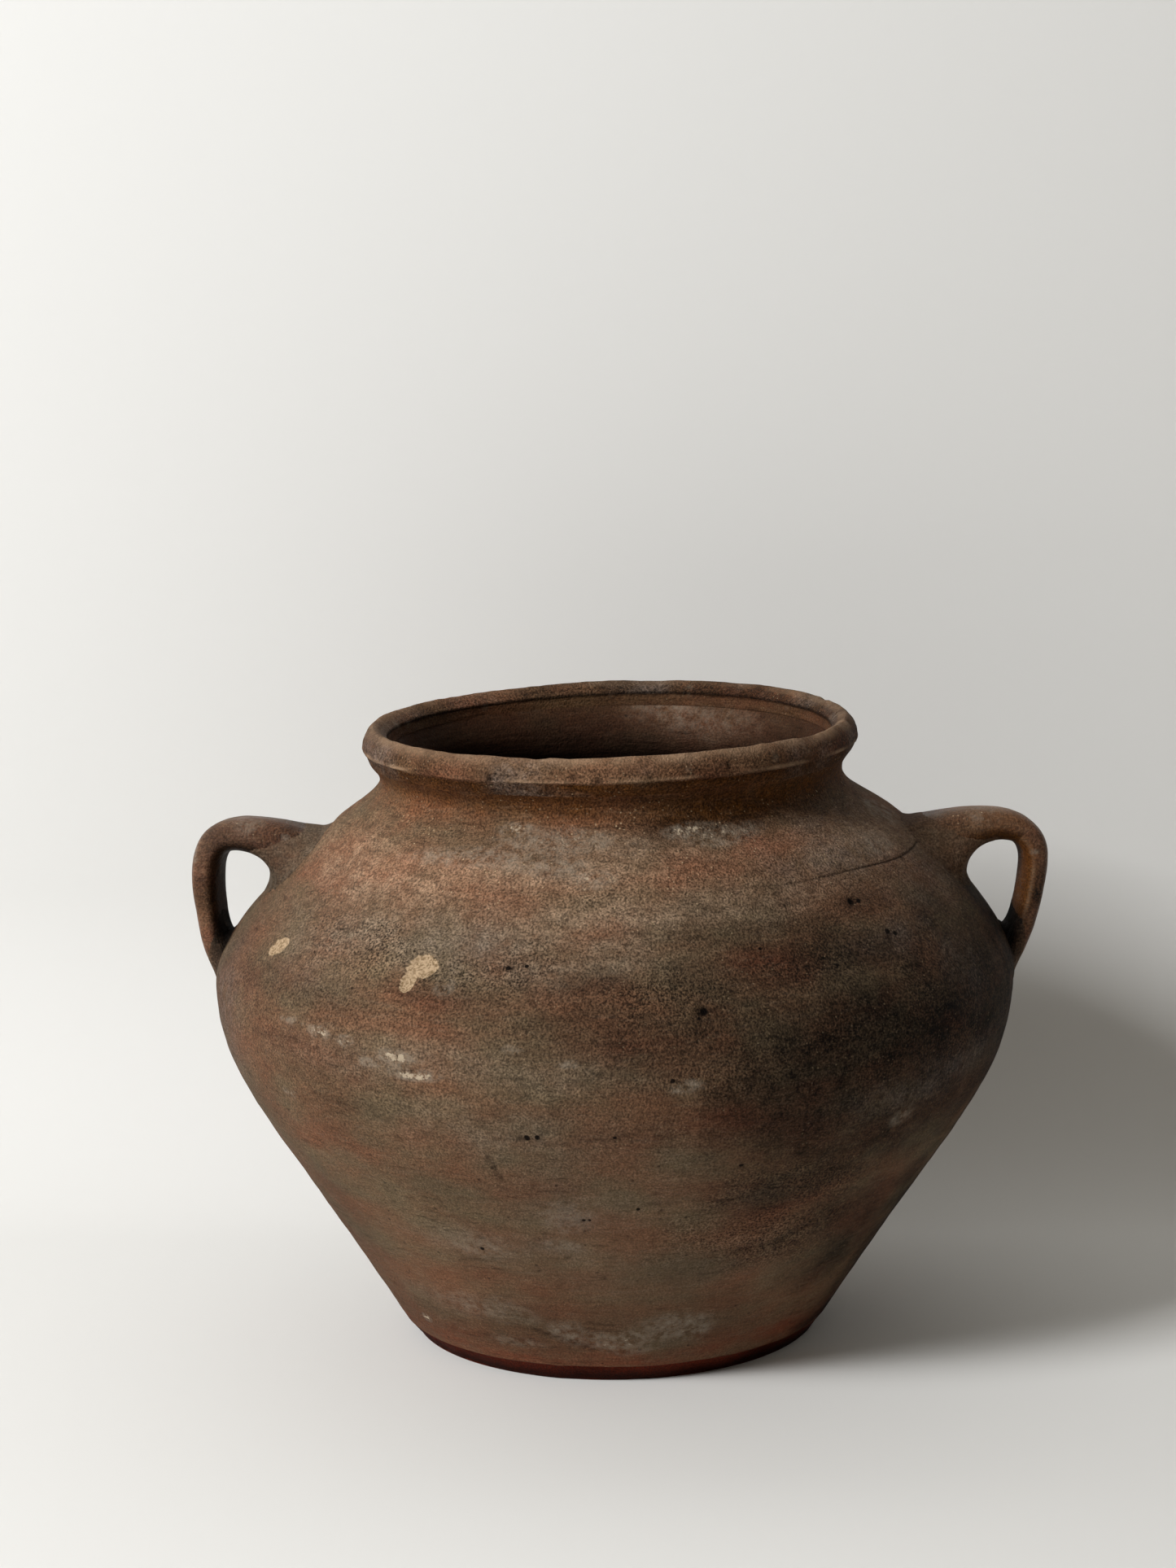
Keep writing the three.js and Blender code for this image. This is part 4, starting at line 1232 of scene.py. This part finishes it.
def lay_over(tree, known, hues, colour, layers):
    """Lay hues over a colour, one after another."""
    for hue, *terms in layers:
        share = share_of(tree, known, terms)
        inputs = {SHARE: share, BELOW: colour, ABOVE: hues[hue]}
        colour = put(tree, "Mix", inputs, MIXED, data_type="RGBA")
    return colour


print("a field as it is:", as_is("smoke_and_shade"))

# %% [markdown]
# ## Fire and damp
# First come the broad hues. Where air reached the clay its iron went red, damp left a grey or olive
# bloom, smoke and painted shade went over both, and ash, with painted sheen, settled last. The smoke
# spares the tops of the sand grains, so dark places stay grainy.

# %% Layers of fire and damp
BROKEN = ("blotch", "cloud")
FIRED = [
    ("warm", as_is("warm"), (("blotch", "bands"), 0.7, 1.2, 0.2, 0.85)),
    ("bloom", as_is("bloom"), (BROKEN, 0.8, 1.2, 0.3, 0.95)),
    # Smoke, and painted shade
    ("smoke_and_shade", as_is("smoke_and_shade"), (BROKEN, 0.75, 1.25, 0.8, 1.14), (("grains", "dust"), 0.82, 1.18, 1.1, 0.86)),
    ("flush", as_is("smoke_and_shade"), (("flame",), 0.52, 0.68, 0.0, 0.14)),
    ("umber", as_is("umber"), (BROKEN, 0.75, 1.25, 0.6, 1.0)),
    # Ash, and painted sheen at the outline and a painted highlight inside
    ("ash_and_sheen", as_is("ash_and_sheen"), (("blotch", "dust"), 0.8, 1.2, 0.05, 0.6)),
    ("smoke_and_shade", (("strokes",), 0.53, 0.7, 0.0, 0.46), (("blotch",), 0.44, 0.6, 0.3, 1.0)),
    ("bloom", (("strokes",), 0.46, 0.3, 0.0, 0.2), (("smoke_and_shade",), 0.0, 1.0, 1.0, 0.15)),
]
# What lightens and darkens the hues: a broad mottle all over, and clouds and grains where the clay is sandy
BROAD_TONE = [(("mottle",), 0.35, 0.65, 0.88, 1.12)]
SANDY_TONE = [(("cloud", "dust"), 0.75, 1.25, 0.68, 1.32), (("grains",), 0.35, 0.65, 0.14, 1.96)]
print("layers of fire and damp:", len(FIRED))

# %% [markdown]
# ## Marks
# Then come the small marks that sit on the surface: open pores with painted shade in them, grit, pale
# flecks on the shoulder and painted glints on the ears, rubbed edges and painted highlights, dirt and
# painted shade in the hollows, a veil of lime with crusts in its middle that also carries painted glints,
# and the fresh clay of the two flakes.

# %% Layers of marks
IN_FLAKE = (("chip", "dust"), 0.92, 1.0, 0, 1)
MARKS = [
    # Open pores, darkened as painted shade
    ("smoke_and_shade", (("sand",), 0.3, 1.0, 0.1, 0.9), (("pores",), 0.4, 0.32, 0.0, 0.8)),
    ("grit", (("grit",), 0.18, 0.09, 0.0, 0.6), (("grit_pick",), 0.2, 0.16, 0, 1)),
    # Pale flecks; on the ears they paint glints
    ("fleck", (("fleck",), 0.24, 0.12, 0.0, 0.85), (("fleck_pick",), 0.5, 0.4, 0, 1), as_is("speck"),
     (("blotch",), 0.42, 0.6, 0, 1)),
    # Rubbed wear, and painted highlights on the rim's lower edge, the arris and the ear's ridge
    ("wear_and_highlight", as_is("wear_and_highlight"), (("blotch",), 0.36, 0.6, 0.15, 0.75)),
    # Dirt, and painted shade in hollows, bends, under the rim and inside
    ("grime_and_shade", (("grime_and_shade",), 0, 1, 0.0, 0.97), (("bands", "strokes"), 0.8, 1.2, 0.9, 1.0)),
    # Lime veil and crusts, and painted glints and highlight
    ("veil", (("lime_and_glint",), 0.1, 0.55, 0, 1), (("cloud", "dust"), 0.85, 1.2, 0.0, 0.6)),
    ("crust", (("lime_and_glint", "dust", "dust"), 1.88, 2.02, 0, 1), (("lime_and_glint",), 0.2, 0.6, 0.0, 0.82)),
    ("flake", IN_FLAKE),
    ("fresh", IN_FLAKE, (("grains", "dust"), 0.84, 1.1, 0, 1)),
]
# Painted shade: each burst grain's hole is painted black
HOLED = [("hole_shade", (("hole_gap", "dust"), 1.6, 1.25, 0.0, 0.95))]
# Height of the relief that the light sees: wiping strokes, sand grains and dusty clay
RELIEF = [
    [(("strokes",), 0, 1, 0, 0.5)],
    [(("grains",), 0, 1, 0, 1.7), as_is("sand")],
    [(("dust",), 0, 1, 0, 1.2), as_is("sand")],
]
print("layers of marks:", len(MARKS))

# %% [markdown]
# ## Colour of the clay
# One recipe serves all the clays: a patchy ground, the hues of fire and damp, lighter and darker tones,
# the marks, and last the holes of the burst grains, painted black as shade. The hues that kiln, dirt and
# lime give, and those of the painted shade, highlights, glints and sheen, are the same on every piece.

# %% Colour of the clay
# Hues shared by all clays; grime, wear, ash, veil, crust and hole also serve painted shade, highlights,
# glints and sheen
SHARED_HUES = {"flush": "#4a2114", "umber": "#51300f", "ash_and_sheen": "#6b5f57", "grit": "#140d09",
               "fleck": "#bfa684", "wear_and_highlight": "#9f8267", "grime_and_shade": "#0b0604", "veil": "#8b7f70",
               "crust": "#b9a890", "flake": "#806a4e", "fresh": "#b79e80", "hole_shade": "#060302"}
# A distance, in reaches of a hole, that counts as far from every hole
NO_HOLE = 3.0


def clay_colour(tree, known, hues, holes):
    """The colour of a clay, built up in layers."""
    upper = share_of(tree, known, [(("speck",), 0.3, 1.0, 0, 1)])
    for hue in ("warm", "bloom"):
        inputs = {SHARE: upper, BELOW: hues[hue], ABOVE: hues["upper_" + hue]}
        hues[hue] = put(tree, "Mix", inputs, MIXED, data_type="RGBA")
    patchy = share_of(tree, known, [(("hue",), 0.36, 0.64, 0, 1)])
    inputs = {SHARE: patchy, BELOW: hues["ground"], ABOVE: hues["pale"]}
    colour = put(tree, "Mix", inputs, MIXED, data_type="RGBA")
    colour = lay_over(tree, known, hues, colour, FIRED)
    for reach, terms in ((1.0, BROAD_TONE), (known["sand"], SANDY_TONE)):
        inputs = {SHARE: reach, BELOW: colour, ABOVE: share_of(tree, known, terms)}
        colour = put(tree, "Mix", inputs, MIXED, data_type="RGBA", blend_type="MULTIPLY")
    known["hole_gap"] = NO_HOLE
    for place, reach in holes:
        gap = put(tree, "VectorMath", {0: known["spot"], 1: place}, "Value", operation="DISTANCE")
        gap = put(tree, "Math", {0: gap, 1: reach}, operation="DIVIDE")
        known["hole_gap"] = put(tree, "Math", {0: gap, 1: known["hole_gap"]}, operation="MINIMUM")
    return lay_over(tree, known, hues, colour, MARKS + (HOLED if holes else []))


print("shared hues:", len(SHARED_HUES))

# %% [markdown]
# ## Skin of the clay
# Fired clay is matt, a little shinier where hands polished it, and rough by its sand. It scatters light
# like plaster, so its reflection is kept low, at the IOR of a common mineral. The relief goes in as bump,
# because its grains are finer than the mesh.

# %% Skin of the clay
# Height of the relief in millimetres
RELIEF_DEPTH = 1.1
MINERAL_IOR = 1.5
# How much smoother full polish makes the clay
POLISH = [(("gloss",), 0, 2, 0, 0.44)]


def fired_clay(name, hues, rough, shine, holes=()):
    """A clay with its own hues, roughness and reflection."""
    material = bpy.data.materials.new(name)
    material.use_nodes = True
    tree = material.node_tree
    tree.nodes.clear()
    known = clay_patterns(tree)
    hues = {hue: linear(value) for hue, value in {**SHARED_HUES, **hues}.items()}
    height = 0.0
    for terms in RELIEF:
        height = put(tree, "Math", {0: share_of(tree, known, terms), 1: height}, operation="ADD")
    bump = put(tree, "Bump", {"Height": height, "Distance": RELIEF_DEPTH * MM, "Strength": 0.8})
    matt = share_of(tree, known, [(("blotch", "grains"), 0.7, 1.3, rough - 0.08, rough + 0.1)])
    polish = share_of(tree, known, POLISH)
    roughness = put(tree, "Math", {0: matt, 1: polish}, operation="SUBTRACT")
    skin = put(tree, "BsdfPrincipled", {
        "Base Color": clay_colour(tree, known, hues, holes), "Roughness": roughness, "Normal": bump,
        "IOR": MINERAL_IOR, "Specular IOR Level": shine})
    put(tree, "OutputMaterial", {"Surface": skin})
    print(name, "nodes:", len(tree.nodes))
    return material


print("relief:", RELIEF_DEPTH, "mm deep, layers:", len(RELIEF))

# %% [markdown]
# ## Four clays
# It is one clay all over, but each part met the fire and the hand in its own way. So each gets its own
# hues: the ground and a paler ground, the red and the bloom low on the wall and high on the shoulder, and
# the smoke.

# %% Clays
# Sandy and matt, brown with soft red and olive zones, black where the smoke was
body_clay = fired_clay("unglazed earthenware body", {
    "ground": "#684a36", "pale": "#62523e", "warm": "#6f412e", "upper_warm": "#8f5b42",
    "bloom": "#736555", "upper_bloom": "#937a63", "smoke_and_shade": "#0f0905"}, 0.78, 0.07,
    list(zip(hole_places.tolist(), (HOLES[:, 2] * MM).tolist())))
# Pressed and turned, so denser and smoother, rubbed pale along its edges
rim_clay = fired_clay("unglazed earthenware rim", {
    "ground": "#6b4835", "pale": "#64503a", "warm": "#7c462e", "upper_warm": "#7c462e",
    "bloom": "#7d6853", "upper_bloom": "#7d6853", "smoke_and_shade": "#110a06"}, 0.74, 0.05)
# Pulled with wet hands and polished by them since: a dull shine over red brown
ear_clay = fired_clay("hand polished earthenware ears", {
    "ground": "#684637", "pale": "#614a37", "warm": "#763f15", "upper_warm": "#763f15",
    "bloom": "#7a674f", "upper_bloom": "#7a674f", "smoke_and_shade": "#0c0603"}, 0.55, 0.11)
# Cut with a wire and hidden from the smoke, so it stayed a rough dark red
foot_clay = fired_clay("wire cut earthenware foot", {
    "ground": "#47190f", "pale": "#542013", "warm": "#642717", "upper_warm": "#642717",
    "bloom": "#3d2c20", "upper_bloom": "#3d2c20", "smoke_and_shade": "#0c0503"}, 0.82, 0.05)

# %% [markdown]
# ## Put the pieces in the frame
# Each mesh stands for one solid, which it hides, rides on the one rigid body that a fired pot is, and
# takes the clay that is listed beside it.

# %% Ride, replace and dress
dressed = [
    (base_disc, "base_disc", "foot_clay", foot_clay),
    (body_wall, "body_wall", "body_clay", body_clay),
    (shoulder_neck, "shoulder_neck", "body_clay", body_clay),
    (rim_band, "rim_band", "rim_clay", rim_clay),
    (right_strap, "right_handle", "handle_clay", ear_clay),
    (right_top, "right_upper_luting", "luting_clay", body_clay),
    (right_foot, "right_lower_luting", "luting_clay", body_clay),
    (left_strap, "left_handle", "handle_clay", ear_clay),
    (left_top, "left_upper_luting", "luting_clay", body_clay),
    (left_foot, "left_lower_luting", "luting_clay", body_clay),
]
for piece, node_name, slot, clay in dressed:
    piece.data.materials.append(clay)
    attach(piece, "root")
    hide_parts(node_name)
print("pieces dressed:", len(dressed))

# %% [markdown]
# ## Paper
# The pot stands on one sheet of pale paper that sweeps up close behind it. A floor and a wall would meet
# in a line, and a wide bend has none. The sheet is one strip of faces, a few long ones and a fine row in
# the bend.

# %% Paper sweep
# In metres: distance of the sheet behind the axis, radius of its bend, half its width, and its height
PAPER_BACK = 0.25
PAPER_BEND = 0.14
PAPER_SIDE = 3.0
PAPER_TOP = 3.2
bend_start = PAPER_BACK - PAPER_BEND
arc = np.linspace(0, math.pi / 2, 24)
sweep = [(-PAPER_SIDE, 0.0), (-1.0, 0.0)]
sweep += [(bend_start + PAPER_BEND * math.sin(a), PAPER_BEND - PAPER_BEND * math.cos(a)) for a in arc]
sweep += [(PAPER_BACK, 1.2), (PAPER_BACK, PAPER_TOP)]
paper_points = [(x, y, z) for y, z in sweep for x in (-PAPER_SIDE, PAPER_SIDE)]
paper_faces = [(2 * i, 2 * i + 1, 2 * i + 3, 2 * i + 2) for i in range(len(sweep) - 1)]
paper_mesh = bpy.data.meshes.new("paper_sweep")
paper_mesh.from_pydata(paper_points, [], paper_faces)
paper_mesh.polygons.foreach_set("use_smooth", [True] * len(paper_faces))
paper = bpy.data.objects.new("paper_sweep", paper_mesh)
bpy.context.scene.collection.objects.link(paper)
print("paper stands", PAPER_BACK, "m behind the axis")

# %% [markdown]
# ## Finish of the paper
# Uncoated paper is matt and scatters light evenly, so a diffuse shader is all it needs. It is clear when
# seen from its back, so that the pot can be looked at from behind. It is marked as stage: no part of the
# object.

# %% Finish of the paper
paper_finish = bpy.data.materials.new("matt white paper")
paper_finish.use_nodes = True
paper_tree = paper_finish.node_tree
paper_tree.nodes.clear()
sheet = put(paper_tree, "BsdfDiffuse", {"Color": linear("#e3e3e1")})
clear = put(paper_tree, "BsdfTransparent")
behind = put(paper_tree, "NewGeometry", out="Backfacing")
shown = put(paper_tree, "MixShader", {0: behind, 1: sheet, 2: clear})
put(paper_tree, "OutputMaterial", {"Surface": shown})
paper_mesh.materials.append(paper_finish)
paper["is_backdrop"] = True
print("paper finish nodes:", len(paper_tree.nodes))

# %% [markdown]
# ## Light of the room
# The room gives a weak warm light, more from above than from below. A plain grey world would do, but then
# the undersides of the rim and the ears would be as light as the shoulder. A ramp by height keeps them
# dark.

# %% Light of the room
# Strength of the light from the horizon and below, and from straight above
ROOM_BELOW = 0.05
ROOM_ABOVE = 0.29
world = bpy.data.worlds.new("room")
bpy.context.scene.world = world
world.use_nodes = True
room = world.node_tree
room.nodes.clear()
upward = put(room, "SeparateXYZ", {0: put(room, "TexCoord", out="Generated")}, "Z")
glow = put(room, "MapRange", {"Value": upward, "To Min": ROOM_BELOW, "To Max": ROOM_ABOVE})
ceiling = put(room, "Background", {"Color": linear("#f3e7d6"), "Strength": glow})
put(room, "OutputWorld", {"Surface": ceiling})
print("room light from", ROOM_BELOW, "to", ROOM_ABOVE)

# %% [markdown]
# ## Lamp
# One soft square lamp stands at the left, in front and well above the pot, as a window would. Many lamps
# would flatten the relief. One lets the shoulder glow, the right side fall off, and the shadow lie on the
# paper.

# %% Lamp
# Place, target and size in metres
LAMP_PLACE = (-1.54, -1.39, 1.60)
LAMP_TARGET = (0, 0, 0.2)
LAMP_SIZE = 0.7
LAMP_WATTS = 64
lamp_data = bpy.data.lights.new("window", "AREA")
lamp_data.shape = "RECTANGLE"
lamp_data.size = LAMP_SIZE
lamp_data.size_y = LAMP_SIZE
lamp_data.energy = LAMP_WATTS
lamp = bpy.data.objects.new("window", lamp_data)
facing = (Vector(LAMP_TARGET) - Vector(LAMP_PLACE)).to_track_quat("-Z", "Y").to_matrix().to_4x4()
lamp.matrix_world = Matrix.Translation(LAMP_PLACE) @ facing
bpy.context.scene.collection.objects.link(lamp)
print("window light:", lamp_data.energy, "W")

# %% [markdown]
# ## Camera
# The camera stands 1.4 m away and a little to the right of the front, about 0.2 m above the rim, and
# looks ten degrees down through a long lens. A wide lens from nearer would open the mouth and shrink the
# foot. So the lens and the place were worked out together, from the outlines of the rim, the sides and
# the foot.

# %% Camera
# Focal length and frame height in pixels of the picture, and how far beside its middle the axis lies
LENS_PIXELS = 4122.0
IMAGE_TALL = 1927.0
AXIS_ASIDE = 28.4
# Height of the sensor in millimetres, then the eye's distance and height in metres
SENSOR_TALL = 36.0
EYE_FAR = 1.4087
EYE_HIGH = 0.4763
eye_turn, aim_left = math.radians(CAMERA_TURN), math.atan(AXIS_ASIDE / LENS_PIXELS)
look_down, roll = math.radians(9.731), math.radians(0.924)
camera_data = bpy.data.cameras.new("camera")
camera_data.sensor_fit = "VERTICAL"
camera_data.sensor_height = SENSOR_TALL
camera_data.lens = SENSOR_TALL * LENS_PIXELS / IMAGE_TALL
camera = bpy.data.objects.new("camera", camera_data)
eye = Matrix.Translation((EYE_FAR * math.sin(eye_turn), -EYE_FAR * math.cos(eye_turn), EYE_HIGH))
camera.matrix_world = (eye @ Matrix.Rotation(eye_turn + aim_left, 4, "Z")
                       @ Matrix.Rotation(math.pi / 2 - look_down, 4, "X") @ Matrix.Rotation(-roll, 4, "Z"))
bpy.context.scene.collection.objects.link(camera)
bpy.context.scene.camera = camera
bpy.context.scene.view_settings.view_transform = "Standard"
print("lens:", round(camera_data.lens, 1), "mm")

# %% [markdown]
# ## Size of the dressed pot
# A dressed pot has to be as big as its solids. Its size is printed here, over all shown pieces but the
# paper.

# %% Size of the dressed pot
sides = [round(float(high - low) / MM, 1) for low, high in zip(*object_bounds())]
print("the pot over its ears, through, and up, in millimetres:", sides)
